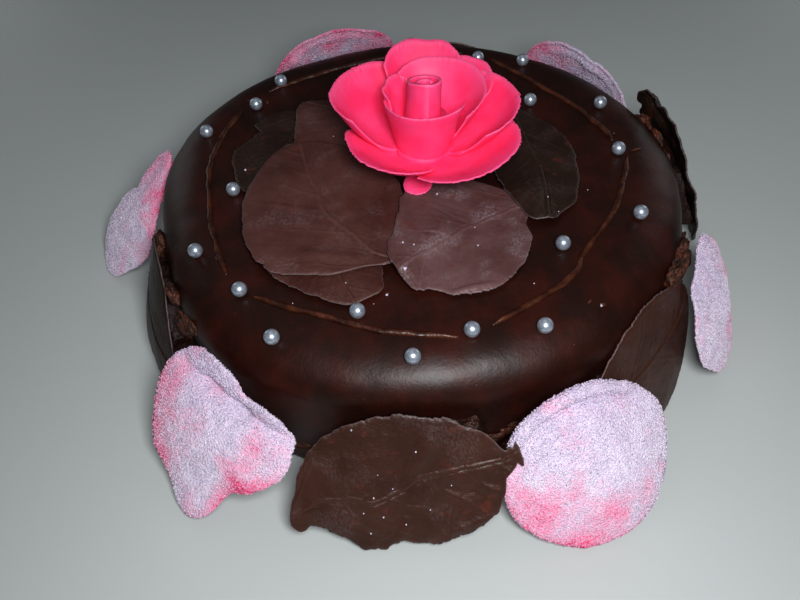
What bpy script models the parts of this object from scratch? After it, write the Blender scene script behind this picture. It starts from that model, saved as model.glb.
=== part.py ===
"""A round chocolate torte, whole, with everything that lies on it and leans against it.

The glazed cake carries a piped line in five swags and small sugar pearls. A sugar-paste rose sits on
chocolate leaves in the middle of its top. Sugared petals and chocolate leaves lean round its side.
Front is -Y, up is +Z, and the origin is the centre of the cake's flat base. Blender works in metres;
the sizes below are in millimetres and MM turns them into metres.
"""

import math
from dataclasses import dataclass

import bmesh
import bpy
from mathutils import Vector
from mathutils.bvhtree import BVHTree

MM = 0.001
# Between neighbouring pieces
GAP = 0.3
# Edges bent more than this many degrees look sharp
SHARP_ANGLE = 50

# The cake under its glaze
CAKE_RADIUS = 114.0
CAKE_HEIGHT = 61.3
SHOULDER_WIDTH = 21.5
SHOULDER_DROP = 16.7
BASE_ROUND = 2.5
TOP_CROWN = 0.8
SIDE_BULGE = 0.6
# How far the outline leaves the circle: (waves round the cake, cosine part, sine part)
OUTLINE_WAVES = ((2, 0.5, -0.4), (3, 0.8, 1.1), (4, -0.7, -0.5), (5, 0.4, 1.1))
CAKE_SIDES = 80
SHOULDER_STEPS = 6
TOP_RINGS = (0, 0.4, 0.75)

# Sugar pearls, as (bearing in degrees, distance from the centre)
PEARL_DIAMETER = 6.0
PEARL_SUNK = 0.7
PEARL_SEGMENTS = 10
PEARL_RINGS = 6
PEARLS_ON_CORNERS = ((2, 87.7), (66, 87.5), (144, 88.9), (223, 95.7), (279, 92.6))
PEARLS_INSIDE = ((37, 69.5), (105, 75), (186, 77.8), (252, 83.8), (316, 74.8))
PEARLS_OUTSIDE = (
    (23, 94.4), (53, 94.6), (88, 97), (131, 93.3), (160, 99.3),
    (205, 98.9), (237, 104.5), (266, 100.7), (294, 99.7), (337, 95),
)

# The piped line: five swags between the corner pearls, as (bearing, distance from the centre)
LINE_WIDTH = 2.4
LINE_HEIGHT = 1.1
LINE_SUNK = 0.5
LINE_STEP = 5.0
# The line's section, as (share of half its width, share of its height over the glaze)
LINE_SECTION = ((0.7, 0.75), (0, 1), (-0.7, 0.75))
SWAGS = (
    ((284, 91.5), (291, 88.5), (304, 87), (312, 86), (317, 83), (328, 83), (339, 85), (352, 88), (360, 91)),
    ((8, 88.5), (16, 86.5), (28, 84.5), (42, 83.7), (52, 86), (63, 92)),
    ((72, 93), (88, 89), (105, 87.5), (122, 89), (136, 93.5)),
    ((147, 94), (159, 92), (172, 90.5), (184, 88.5), (195, 89), (205, 90.5), (216, 94)),
    ((226, 93.5), (234, 90.5), (242, 88.4), (249, 88), (258, 89.5), (269, 91), (276, 93.5)),
)

# Chocolate leaves
LEAF_THICKNESS = 1.5
LEAF_SPOKES = 26
LEAF_RINGS = 3
LEAF_WIDEST = 0.45
LEAF_FULLNESS = 0.62
LEAF_WAVE = 0.8
SIDE_LEAF_WAVE = 1.3
# How often a top leaf's heights are evened out, so that it bridges the edges under it
LEAF_EASING = 8

# A top leaf is held up by what lies under a point and this far round it, in so many directions
SUPPORT_REACHES = (3.5, 7.0)
SUPPORT_DIRECTIONS = 8

# Sugared petals
PETAL_THICKNESS = 1.8
PETAL_SPOKES = 26
PETAL_RINGS = 3

# How far a leaning piece is moved at a time while it still meets what stands behind it
OUTWARD_STEP = 0.5
# Height of a leaning sheet's lowest point: half its thickness
FOOT_HEIGHT = 0.9

# The rose: its axis, its rolled heart, and its petals
ROSE_X = 3.3
ROSE_Y = -3.3
ROSE_LEAN_X = 0.06
ROSE_LEAN_Y = 0.14
ROSE_THICKNESS = 1.8
STUB_RADIUS = 6.0
HEART_PROFILE = ((6.0, 0.0), (8.0, 4.0), (12.0, 8.0), (10.0, 13.0), (9.2, 21.0), (7.6, 37.5))
HEART_SIDES = 16
HEART_DISH = 2.5
HEART_RIM = 2.4


@dataclass(frozen=True)
class LeafShape:
    """A leaf's outline on the surface it lies on, from its stem end to its tip, in millimetres."""

    name: str
    stem: tuple
    tip: tuple
    bow: float
    left: float
    right: float


@dataclass(frozen=True)
class LeaningFrame:
    """Where a piece leans against the cake: its bearing, how far out it stands, and its lean."""

    bearing: float
    foot: float
    lean: float
    wrap: float


@dataclass(frozen=True)
class PetalShape:
    """A sugared petal: reach is its edge's distance from its middle in twelve directions."""

    name: str
    middle: tuple
    reach: tuple
    dome: float


@dataclass(frozen=True)
class RosePetal:
    """A petal of the rose, as a curved sheet round the rose's axis."""

    bearing: float
    half_angle: float
    root_radius: float
    root_height: float
    rim_radius: float
    rim_height: float
    belly: float
    tuck: float


# The leaves on top, lowest first. Each lies on those before it. Stem and tip are (x, y).
TOP_LEAVES = (
    LeafShape("leaf_top_under", (-60, -12), (-27, -76), 2, 20, 23),
    LeafShape("leaf_top_left", (-50, 44), (-71, -11), 4, 22, 21),
    LeafShape("leaf_top_back", (4, 14), (20, 68), 3, 22, 22),
    LeafShape("leaf_top_upper_left", (-9, 12), (-49, 50), -3, 26, 22),
    LeafShape("leaf_top_big", (-12, -58), (-56, 15), 8, 33, 37),
    LeafShape("leaf_top_centre", (-12, -60), (44, -31), 4, 31, 28),
    LeafShape("leaf_top_right", (46, 38), (50, -39), 4, 17, 19),
)

SIDE_LEAVES = (
    (LeafShape("leaf_side_right", (-43, 31), (27, 43), 0, 22, 33), LeaningFrame(319, 132, 14, 0.9)),
    (LeafShape("leaf_side_back_right", (-22, 6), (25, 66), 4, 20, 19), LeaningFrame(12, 138, 17, 0.6)),
    (LeafShape("leaf_side_back", (-34, 30), (36, 42), 3, 26, 27), LeaningFrame(78, 132, 12, 0.9)),
    (LeafShape("leaf_side_back_left", (36, 30), (-36, 34), -3, 27, 26), LeaningFrame(143, 132, 14, 0.9)),
    (LeafShape("leaf_side_left", (-36, 32), (36, 24), 3, 24, 27), LeaningFrame(197, 131, 13, 0.9)),
)

# This leaf stands before the ends of the petals beside it.
FRONT_LEAVES = (
    (LeafShape("leaf_side_front", (38, 37), (-45, 11), -2, 28, 24), LeaningFrame(266, 142, 31, -0.3)),
)

SIDE_PETALS = (
    (
        PetalShape(
            "petal_front_left", (-6, 35),
            (31, 34, 21, 23, 29, 29, 30, 29, 36, 40, 25, 27), 3,
        ),
        LeaningFrame(235, 155, 39, 0.3),
    ),
    (
        PetalShape(
            "petal_front_right", (-8, 32),
            (34, 32, 28, 24, 28, 33, 35, 34, 34, 34, 34, 34), 4,
        ),
        LeaningFrame(297, 154, 38, 1.7),
    ),
    (
        PetalShape(
            "petal_right", (0, 28),
            (23, 25, 28, 28, 27, 26, 27, 33, 34, 29, 24, 21), 4,
        ),
        LeaningFrame(337, 143, 27, 0.4),
    ),
    (
        PetalShape(
            "petal_back_right", (0, 34),
            (33, 32, 32, 31, 31, 31, 31, 31, 33, 34, 33, 33), 3,
        ),
        LeaningFrame(46, 144, 22, 0.6),
    ),
    (
        PetalShape(
            "petal_back_left", (-4, 34),
            (35, 34, 33, 32, 34, 38, 38, 35, 34, 34, 34, 34), 3,
        ),
        LeaningFrame(110, 144, 22, 0.6),
    ),
    (
        PetalShape(
            "petal_left", (-88.5, 33),
            (18, 20, 23, 33, 18, 13, 14, 20, 31, 35, 25, 18), 4,
        ),
        LeaningFrame(212, 121, 41, 0),
    ),
)

# Bearings run anticlockwise from +X. Root and rim are (distance from the axis, height over the stub).
ROSE_PETALS = (
    RosePetal(150, 42, 9, 8, 41, 24, 0.28, 0.35),
    RosePetal(214, 46, 9, 7, 31.5, 18, 0.26, 0.30),
    RosePetal(322, 52, 9, 6, 40, 14, 0.24, 0.30),
    RosePetal(12, 42, 9, 8, 37.5, 22.5, 0.24, 0.35),
    RosePetal(55, 32, 9, 10, 37, 26.5, 0.20, 0.30),
    RosePetal(93, 36, 9, 10, 36, 29.5, 0.18, 0.30),
    RosePetal(48, 82, 9, 11, 25.5, 32.5, 0.10, 0.40),
    RosePetal(255, 78, 10, 9, 16.5, 31, 0.0, 0.10),
    RosePetal(152, 40, 9, 11, 17.5, 33, 0.05, 0.25),
)
ROSE_PETAL_COLUMNS = 8
ROSE_PETAL_ROWS = 4
# How sharply a petal's corners are drawn in, and how much its one side stands higher than the other
ROSE_CORNER_POWER = 2.5
ROSE_TILT = 0.9


def clear_objects():
    """Removes what the file holds, so that the model stands alone in it."""
    for obj in list(bpy.data.objects):
        bpy.data.objects.remove(obj)


def material(name, colour, roughness):
    """A Principled material of one colour, not metallic."""
    made = bpy.data.materials.new(name)
    made.use_nodes = True
    shader = made.node_tree.nodes["Principled BSDF"]
    shader.inputs["Base Color"].default_value = (*colour, 1.0)
    shader.inputs["Roughness"].default_value = roughness
    shader.inputs["Metallic"].default_value = 0.0
    return made


def add_object(name, bm, finish):
    """Turns a bmesh that is in millimetres into a named object in metres."""
    bmesh.ops.scale(bm, vec=(MM, MM, MM), verts=bm.verts)
    mesh = bpy.data.meshes.new(name)
    bm.to_mesh(mesh)
    bm.free()
    mesh.shade_smooth()
    mesh.set_sharp_from_angle(angle=math.radians(SHARP_ANGLE))
    obj = bpy.data.objects.new(name, mesh)
    obj.data.materials.append(finish)
    bpy.context.scene.collection.objects.link(obj)
    return obj


def on_bearing(degrees, distance, height=0.0):
    """The point at a bearing and a distance from the cake's centre."""
    angle = math.radians(degrees)
    return Vector((distance * math.cos(angle), distance * math.sin(angle), height))


def outline_offset(angle):
    """How far the cake's outline stands out of its circle at an angle in radians."""
    return sum(c * math.cos(n * angle) + s * math.sin(n * angle) for n, c, s in OUTLINE_WAVES)


def cake_top(x, y):
    """Height of the cake's top surface over its base."""
    distance = math.hypot(x, y)
    flat = CAKE_RADIUS - SHOULDER_WIDTH + outline_offset(math.atan2(y, x))
    if distance <= flat:
        return CAKE_HEIGHT + TOP_CROWN * (1 - (distance / flat) ** 2)
    out = min((distance - flat) / SHOULDER_WIDTH, 1.0)
    return CAKE_HEIGHT - SHOULDER_DROP * (1 - math.sqrt(1 - out * out))


def cake_profile():
    """Points (distance, height) down the cake's section, from its top's centre to its base's centre."""
    flat = CAKE_RADIUS - SHOULDER_WIDTH
    points = [(share * flat, CAKE_HEIGHT + TOP_CROWN * (1 - share * share)) for share in TOP_RINGS]
    for step in range(SHOULDER_STEPS + 1):
        turn = math.pi / 2 * step / SHOULDER_STEPS
        points.append(
            (flat + SHOULDER_WIDTH * math.sin(turn), CAKE_HEIGHT - SHOULDER_DROP * (1 - math.cos(turn)))
        )
    points.append((CAKE_RADIUS + SIDE_BULGE, (CAKE_HEIGHT - SHOULDER_DROP) / 2))
    points.append((CAKE_RADIUS, BASE_ROUND))
    points.append((CAKE_RADIUS - BASE_ROUND, 0.0))
    points.append((0.0, 0.0))
    return points


def cake_body(finish):
    """The cake as a turned solid whose outline is then pushed out of the circle."""
    bm = bmesh.new()
    verts = [bm.verts.new((r, 0.0, z)) for r, z in cake_profile()]
    edges = [bm.edges.new(pair) for pair in zip(verts, verts[1:])]
    bmesh.ops.spin(
        bm, geom=verts + edges, cent=(0, 0, 0), axis=(0, 0, 1), dvec=(0, 0, 0),
        angle=math.tau, steps=CAKE_SIDES, use_merge=True, use_duplicate=False,
    )
    bmesh.ops.remove_doubles(bm, verts=bm.verts, dist=0.01)
    for vert in bm.verts:
        distance = vert.co.xy.length
        if distance > 1.0:
            angle = math.atan2(vert.co.y, vert.co.x)
            vert.co.xy *= 1 + outline_offset(angle) / CAKE_RADIUS
    bmesh.ops.recalc_face_normals(bm, faces=bm.faces)
    return add_object("cake", bm, finish)


def smooth_route(points):
    """A smooth curve through points, as a list of points about LINE_STEP apart."""
    route = []
    padded = [2 * points[0] - points[1], *points, 2 * points[-1] - points[-2]]
    for before, start, end, after in zip(padded, padded[1:], padded[2:], padded[3:]):
        steps = max(1, round((end - start).length / LINE_STEP))
        for step in range(steps):
            t = step / steps
            route.append(
                0.5 * (
                    2 * start + (end - before) * t
                    + (2 * before - 5 * start + 4 * end - after) * t ** 2
                    + (3 * start - before - 3 * end + after) * t ** 3
                )
            )
    return [*route, points[-1]]


def piped_swag(name, swag, finish):
    """One swag of the piped line, a flattened tube half sunk in the glaze."""
    route = smooth_route([on_bearing(*corner) for corner in swag])
    bm = bmesh.new()
    loops = []
    for i, point in enumerate(route):
        ahead = (route[min(i + 1, len(route) - 1)] - route[max(i - 1, 0)]).normalized()
        across = Vector((-ahead.y, ahead.x, 0.0))
        level = cake_top(point.x, point.y)
        crest = [(side, up * LINE_HEIGHT) for side, up in LINE_SECTION]
        section = [(1, -LINE_SUNK), *crest, (-1, -LINE_SUNK)]
        ring = []
        for side, up in section:
            corner = point + across * (side * LINE_WIDTH / 2)
            ring.append(bm.verts.new((corner.x, corner.y, level + up)))
        loops.append([bm.edges.new(pair) for pair in zip(ring, ring[1:] + ring[:1])])
    for start, end in zip(loops, loops[1:]):
        bmesh.ops.bridge_loops(bm, edges=start + end)
    bmesh.ops.holes_fill(bm, edges=bm.edges, sides=len(section))
    bmesh.ops.recalc_face_normals(bm, faces=bm.faces)
    return add_object(name, bm, finish)


def pearl(name, bearing, distance, finish):
    """One sugar pearl, sunk a little into the glaze."""
    place = on_bearing(bearing, distance)
    radius = PEARL_DIAMETER / 2
    bm = bmesh.new()
    bmesh.ops.create_uvsphere(bm, u_segments=PEARL_SEGMENTS, v_segments=PEARL_RINGS, radius=radius)
    bmesh.ops.translate(
        bm, verts=bm.verts, vec=(place.x, place.y, cake_top(place.x, place.y) + radius - PEARL_SUNK)
    )
    return add_object(name, bm, finish)


def fuse(obj, others):
    """Fuses the others into obj by one union and removes them."""
    group = bpy.data.collections.new(obj.name + "_parts")
    bpy.context.scene.collection.children.link(group)
    for other in others:
        bpy.context.scene.collection.objects.unlink(other)
        group.objects.link(other)
    union = obj.modifiers.new("fuse", "BOOLEAN")
    union.operation = "UNION"
    union.operand_type = "COLLECTION"
    union.solver = "EXACT"
    union.collection = group
    bpy.context.view_layer.update()
    graph = bpy.context.evaluated_depsgraph_get()
    fused = bpy.data.meshes.new_from_object(obj.evaluated_get(graph))
    obj.modifiers.clear()
    obj.data = fused
    for other in list(group.objects):
        bpy.data.objects.remove(other)
    bpy.data.collections.remove(group)
    tidy_mesh(obj)


def tidy_mesh(obj):
    """Merges points that a union leaves on top of each other and splits every face into triangles."""
    bm = bmesh.new()
    bm.from_mesh(obj.data)
    bmesh.ops.remove_doubles(bm, verts=bm.verts, dist=0.00002)
    bmesh.ops.dissolve_degenerate(bm, edges=bm.edges, dist=0.00001)
    bmesh.ops.triangulate(bm, faces=bm.faces)
    bm.to_mesh(obj.data)
    bm.free()


def unit_disc(spokes, rings):
    """A round sheet of radius 1: a fan at its middle and rings of faces round it."""
    bm = bmesh.new()
    bmesh.ops.create_circle(bm, cap_ends=True, cap_tris=True, segments=spokes, radius=1 / rings)
    for ring in range(2, rings + 1):
        edge = [e for e in bm.edges if e.is_boundary]
        grown = bmesh.ops.extrude_edge_only(bm, edges=edge)["geom"]
        outer = [v for v in grown if isinstance(v, bmesh.types.BMVert)]
        for vert in outer:
            vert.co = vert.co.normalized() * (ring / rings)
    bmesh.ops.recalc_face_normals(bm, faces=bm.faces)
    if sum(face.normal.z for face in bm.faces) < 0:
        bmesh.ops.reverse_faces(bm, faces=bm.faces)
    bmesh.ops.triangulate(bm, faces=bm.faces)
    return bm


def leaf_point(leaf, a, b):
    """Where a point (a, b) of the unit disc lies on a leaf: a runs from stem to tip, b across."""
    stem = Vector(leaf.stem)
    along = Vector(leaf.tip) - stem
    left = Vector((-along.y, along.x)).normalized()
    share = min(max((a + 1) / 2, 0.0), 1.0)
    skew = math.log(0.5) / math.log(LEAF_WIDEST)
    half = math.sin(math.pi * share ** skew) ** LEAF_FULLNESS if 0 < share < 1 else 0.0
    reach = math.sqrt(max(1 - a * a, 0.0))
    side = b / reach if reach > 1e-6 else 0.0
    width = leaf.left if side > 0 else leaf.right
    bowed = leaf.bow * math.sin(math.pi * share)
    return stem + along * share + left * (bowed + side * half * width)


def petal_point(petal, a, b):
    """Where a point (a, b) of the unit disc lies on a petal."""
    count = len(petal.reach)
    turn = (math.atan2(b, a) % math.tau) / math.tau * count
    here = int(turn) % count
    t = turn - int(turn)
    p0, p1, p2, p3 = (petal.reach[(here + k) % count] for k in (-1, 0, 1, 2))
    reach = 0.5 * (
        2 * p1 + (p2 - p0) * t + (2 * p0 - 5 * p1 + 4 * p2 - p3) * t ** 2
        + (3 * p1 - p0 - 3 * p2 + p3) * t ** 3
    )
    return Vector(petal.middle) + Vector((a, b)) * reach


def thicken(name, bm, thickness, finish):
    """Gives a sheet its thickness, half to each side, both faces split into triangles alike."""
    bmesh.ops.recalc_face_normals(bm, faces=bm.faces)
    obj = add_object(name, bm, finish)
    solid = obj.modifiers.new("thickness", "SOLIDIFY")
    solid.thickness = thickness * MM
    solid.offset = 0.0
    solid.use_even_offset = False
    bpy.context.view_layer.update()
    graph = bpy.context.evaluated_depsgraph_get()
    made = bpy.data.meshes.new_from_object(obj.evaluated_get(graph))
    obj.modifiers.clear()
    obj.data = made
    return obj


def surface_of(obj):
    """A search tree over an object's faces."""
    bm = bmesh.new()
    bm.from_mesh(obj.data)
    tree = BVHTree.FromBMesh(bm)
    bm.free()
    return tree


def support_height(x, y, trees):
    """The highest surface in trees under and close round a point, in millimetres."""
    found = cake_top(x, y)
    looks = [(0.0, 0.0)]
    for reach in SUPPORT_REACHES:
        for step in range(SUPPORT_DIRECTIONS):
            turn = math.tau * step / SUPPORT_DIRECTIONS
            looks.append((reach * math.cos(turn), reach * math.sin(turn)))
    for aside_x, aside_y in looks:
        start = Vector((x + aside_x, y + aside_y, 2 * CAKE_HEIGHT)) * MM
        for tree in trees:
            hit = tree.ray_cast(start, Vector((0, 0, -1)))[0]
            if hit is not None:
                found = max(found, hit.z / MM)
    return found


def top_leaf(leaf, trees, finish):
    """A leaf on the cake's top, laid over the leaves in trees and stiff enough to bridge their edges."""
    bm = unit_disc(LEAF_SPOKES, LEAF_RINGS)
    half = LEAF_THICKNESS / 2
    floor = {}
    for vert in bm.verts:
        flat = leaf_point(leaf, vert.co.x, vert.co.y)
        wave = LEAF_WAVE * (1 + math.sin(3 * vert.co.x + 1) * math.cos(3 * vert.co.y)) / 2
        floor[vert] = support_height(flat.x, flat.y, trees) + GAP + half + wave
        vert.co = (flat.x, flat.y, floor[vert])
    for _ in range(LEAF_EASING):
        level = {}
        for vert in bm.verts:
            ring = [edge.other_vert(vert).co.z for edge in vert.link_edges]
            level[vert] = max(floor[vert], (vert.co.z + sum(ring) / len(ring)) / 2)
        for vert, height in level.items():
            vert.co.z = height
    return thicken(leaf.name, bm, LEAF_THICKNESS, finish)


def leaning_point(frame, flat, out):
    """A point of a leaning piece: flat is (along the side, up the slope), out is off the slope."""
    bearing = math.radians(frame.bearing)
    lean = math.radians(frame.lean)
    outward = Vector((math.cos(bearing), math.sin(bearing), 0.0))
    sideways = Vector((-math.sin(bearing), math.cos(bearing), 0.0))
    upward = -outward * math.sin(lean) + Vector((0, 0, math.cos(lean)))
    normal = outward * math.cos(lean) + Vector((0, 0, math.sin(lean)))
    wrapped = out - frame.wrap * flat.x ** 2 / (2 * CAKE_RADIUS)
    return outward * frame.foot + sideways * flat.x + upward * flat.y + normal * wrapped


def settle(bm):
    """Lifts or lowers a leaning sheet until its lowest point, once thickened, stands on the ground."""
    lowest = min(vert.co.z for vert in bm.verts)
    bmesh.ops.translate(bm, verts=bm.verts, vec=(0, 0, FOOT_HEIGHT - lowest))


def touches(bm, thickness, trees, finish):
    """Whether a sheet, thickened and with the gap round it, meets any surface in trees."""
    trial = thicken("trial", bm.copy(), thickness + 2 * GAP, finish)
    around = surface_of(trial)
    bpy.data.objects.remove(trial)
    return any(around.overlap(tree) for tree in trees)


def stand_clear(bm, thickness, trees, finish):
    """Stands a leaning sheet on the ground and moves it outwards until it clears what trees hold."""
    settle(bm)
    middle = sum((vert.co for vert in bm.verts), Vector()) / len(bm.verts)
    step = Vector((middle.x, middle.y, 0.0)).normalized() * OUTWARD_STEP
    while touches(bm, thickness, trees, finish):
        bmesh.ops.translate(bm, verts=bm.verts, vec=step)


def side_leaf(leaf, frame, trees, finish):
    """A chocolate leaf leaning against the cake's side, clear of what trees hold."""
    bm = unit_disc(LEAF_SPOKES, LEAF_RINGS)
    for vert in bm.verts:
        flat = leaf_point(leaf, vert.co.x, vert.co.y)
        wave = SIDE_LEAF_WAVE * math.sin(2.4 * vert.co.x + 0.6) * math.cos(2.2 * vert.co.y)
        vert.co = leaning_point(frame, flat, wave)
    stand_clear(bm, LEAF_THICKNESS, trees, finish)
    return thicken(leaf.name, bm, LEAF_THICKNESS, finish)


def side_petal(petal, frame, trees, finish):
    """A sugared petal leaning against the cake's side, domed at its middle, clear of what trees hold."""
    bm = unit_disc(PETAL_SPOKES, PETAL_RINGS)
    for vert in bm.verts:
        flat = petal_point(petal, vert.co.x, vert.co.y)
        out = petal.dome * (1 - vert.co.xy.length_squared)
        vert.co = leaning_point(frame, flat, out)
    stand_clear(bm, PETAL_THICKNESS, trees, finish)
    return thicken(petal.name, bm, PETAL_THICKNESS, finish)


def rose_axis(height):
    """The rose's axis at a height over the underside of its stub."""
    return Vector((ROSE_X + ROSE_LEAN_X * height, ROSE_Y + ROSE_LEAN_Y * height, height))


def rose_heart(finish):
    """The stub and the rolled heart of the rose, with a dished top."""
    bm = bmesh.new()
    points = [(0.0, 0.0), *HEART_PROFILE]
    top_radius, top_height = HEART_PROFILE[-1]
    points += [(top_radius - HEART_RIM, top_height), (0.0, top_height - HEART_DISH)]
    verts = [bm.verts.new((r, 0.0, z)) for r, z in points]
    edges = [bm.edges.new(pair) for pair in zip(verts, verts[1:])]
    bmesh.ops.spin(
        bm, geom=verts + edges, cent=(0, 0, 0), axis=(0, 0, 1), dvec=(0, 0, 0),
        angle=math.tau, steps=HEART_SIDES, use_merge=True, use_duplicate=False,
    )
    bmesh.ops.remove_doubles(bm, verts=bm.verts, dist=0.01)
    for vert in bm.verts:
        axis = rose_axis(vert.co.z)
        vert.co = Vector((vert.co.x, vert.co.y, 0.0)) + axis
    bmesh.ops.recalc_face_normals(bm, faces=bm.faces)
    return add_object("rose", bm, finish)


def rose_petal(name, petal, finish):
    """One petal of the rose: a sheet from its root up and out to its rim."""
    bm = bmesh.new()
    bmesh.ops.create_grid(
        bm, x_segments=ROSE_PETAL_COLUMNS, y_segments=ROSE_PETAL_ROWS, size=1.0
    )
    for vert in bm.verts:
        u, v = vert.co.x, (vert.co.y + 1) / 2
        drawn_in = petal.tuck * abs(u) ** ROSE_CORNER_POWER
        bearing = math.radians(petal.bearing + petal.half_angle * u)
        spread = petal.rim_radius - petal.root_radius
        rise = petal.rim_height - petal.root_height
        radius = petal.root_radius + spread * v * (1 - drawn_in)
        height = petal.root_height + rise * (v - petal.belly * 4 * v * (1 - v)) * (1 - drawn_in / 2)
        height += ROSE_TILT * u * v
        vert.co = rose_axis(height) + Vector((radius * math.cos(bearing), radius * math.sin(bearing), 0.0))
    bmesh.ops.triangulate(bm, faces=bm.faces)
    return thicken(name, bm, ROSE_THICKNESS, finish)


def build_cake(glaze):
    """The cake with its piped line and its pearls fused on."""
    cake = cake_body(glaze)
    toppings = [piped_swag(f"swag_{i}", swag, glaze) for i, swag in enumerate(SWAGS)]
    pearls = PEARLS_ON_CORNERS + PEARLS_INSIDE + PEARLS_OUTSIDE
    toppings += [pearl(f"pearl_{i}", *place, glaze) for i, place in enumerate(pearls)]
    fuse(cake, toppings)
    return cake


def build_rose(paste, trees):
    """The rose, fused from its heart and petals, its stub standing on the leaves in trees."""
    rose = rose_heart(paste)
    fuse(rose, [rose_petal(f"rose_petal_{i}", petal, paste) for i, petal in enumerate(ROSE_PETALS)])
    ground = 0.0
    for step in range(12):
        turn = math.tau * step / 12
        x = ROSE_X + STUB_RADIUS * math.cos(turn)
        y = ROSE_Y + STUB_RADIUS * math.sin(turn)
        ground = max(ground, support_height(x, y, trees))
    for vert in rose.data.vertices:
        vert.co.z += (ground + GAP) * MM
    return rose


def main():
    """Builds every piece of the cake."""
    clear_objects()
    glaze = material("chocolate_glaze", (0.035, 0.014, 0.010), 0.3)
    chocolate = material("chocolate_leaf", (0.085, 0.045, 0.038), 0.5)
    paste = material("pink_sugar_paste", (0.85, 0.05, 0.17), 0.5)
    sugared = material("sugared_petal", (0.85, 0.62, 0.72), 0.8)
    cake = build_cake(glaze)
    lying = []
    for leaf in TOP_LEAVES:
        lying.append(surface_of(top_leaf(leaf, lying, chocolate)))
    build_rose(paste, lying)
    leaning = [surface_of(cake)]
    for leaf, frame in SIDE_LEAVES:
        leaning.append(surface_of(side_leaf(leaf, frame, leaning, chocolate)))
    for petal, frame in SIDE_PETALS:
        leaning.append(surface_of(side_petal(petal, frame, leaning, sugared)))
    for leaf, frame in FRONT_LEAVES:
        leaning.append(surface_of(side_leaf(leaf, frame, leaning, chocolate)))


main()
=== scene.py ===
"""The looks of a whole chocolate torte with chocolate leaves, sugared petals, pearls and a sugar rose.

Front is -Y, up is +Z, and the origin is the centre of the cake's flat base. Blender works in metres;
the sizes below are in millimetres and MM turns them into metres. Bearings run anticlockwise from +X.
"""

import logging
import math
from dataclasses import dataclass
from enum import Enum
from typing import Sequence, Union

import bmesh
import bpy
from mathutils import Matrix, Vector, noise
from mathutils.bvhtree import BVHTree

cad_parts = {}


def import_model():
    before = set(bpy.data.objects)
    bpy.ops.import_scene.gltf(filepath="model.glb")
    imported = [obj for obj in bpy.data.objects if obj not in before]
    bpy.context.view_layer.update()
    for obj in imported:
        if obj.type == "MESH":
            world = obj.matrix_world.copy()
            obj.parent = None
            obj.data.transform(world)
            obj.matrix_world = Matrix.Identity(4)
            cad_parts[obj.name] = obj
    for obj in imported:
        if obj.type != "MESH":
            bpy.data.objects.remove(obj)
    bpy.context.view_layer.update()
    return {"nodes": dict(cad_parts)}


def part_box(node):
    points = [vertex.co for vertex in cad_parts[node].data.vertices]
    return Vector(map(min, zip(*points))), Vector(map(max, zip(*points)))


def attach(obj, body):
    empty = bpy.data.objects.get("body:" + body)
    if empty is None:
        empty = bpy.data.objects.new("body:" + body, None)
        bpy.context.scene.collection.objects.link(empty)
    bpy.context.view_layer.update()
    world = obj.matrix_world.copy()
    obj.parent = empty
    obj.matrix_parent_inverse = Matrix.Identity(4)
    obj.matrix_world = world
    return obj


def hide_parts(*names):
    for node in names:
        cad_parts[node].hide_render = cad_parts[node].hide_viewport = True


MM = 0.001
OVERHEAD = 150.0  # a height over the whole cake, to look down from
LEAF_LEVEL = 66.0  # about the height of the leaves on the top
FLOOR_GAP = 0.3  # how far crumb keeps off the floor
BARE_SHARE = 0.4  # the share of crystals left where the sugar lies thinnest
SMOOTHINGS = 30  # rounds that even out a leaf that lies on others
FLUSH_REACH = 70.0  # degrees from the middle of a petal's flush to its end
DOWN = Vector((0.0, 0.0, -1.0))
LOG = logging.getLogger("torte")

Colour = tuple[float, float, float]
Mesh = bmesh.types.BMesh


class Slot(Enum):
    """Names for material slots; nothing in this script uses them."""

    GLAZE = "chocolate_glaze"
    LEAF = "chocolate_leaf"
    PASTE = "pink_sugar_paste"
    PETAL = "sugared_petal"


class Socket:
    """A number, colour or vector in a material's graph. Arithmetic on numbers adds Math nodes."""

    def __init__(self, graph: "Graph", output: bpy.types.NodeSocket) -> None:
        """Wraps one output socket of a graph's node."""
        self.graph = graph
        self.output = output

    def _math(self, operation: str, *values: "Value") -> "Socket":
        """Adds a Math node fed with values."""
        return self.graph.node("ShaderNodeMath", {"operation": operation}, dict(enumerate(values)))

    def __add__(self, other: "Value") -> "Socket":
        """self + other."""
        return self._math("ADD", self, other)

    def __radd__(self, other: "Value") -> "Socket":
        """other + self."""
        return self._math("ADD", other, self)

    def __sub__(self, other: "Value") -> "Socket":
        """self - other."""
        return self._math("SUBTRACT", self, other)

    def __rsub__(self, other: "Value") -> "Socket":
        """other - self."""
        return self._math("SUBTRACT", other, self)

    def __mul__(self, other: "Value") -> "Socket":
        """self * other."""
        return self._math("MULTIPLY", self, other)

    def __rmul__(self, other: "Value") -> "Socket":
        """other * self."""
        return self._math("MULTIPLY", other, self)

    def step(self, low: float, high: float) -> "Socket":
        """Rises smoothly from 0 at low to 1 at high; with low over high, it falls.

        Args:
            low: Where the result is 0.
            high: Where the result is 1.

        Returns:
            The smoothed share between the two.
        """
        rising = low < high
        edges = {"From Min": min(low, high), "From Max": max(low, high)}
        ends = {"To Min": 0.0 if rising else 1.0, "To Max": 1.0 if rising else 0.0}
        return self.graph.node(
            "ShaderNodeMapRange", {"interpolation_type": "SMOOTHSTEP"}, {"Value": self, **edges, **ends}
        )


Value = Union[Socket, float, Sequence[float]]


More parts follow.
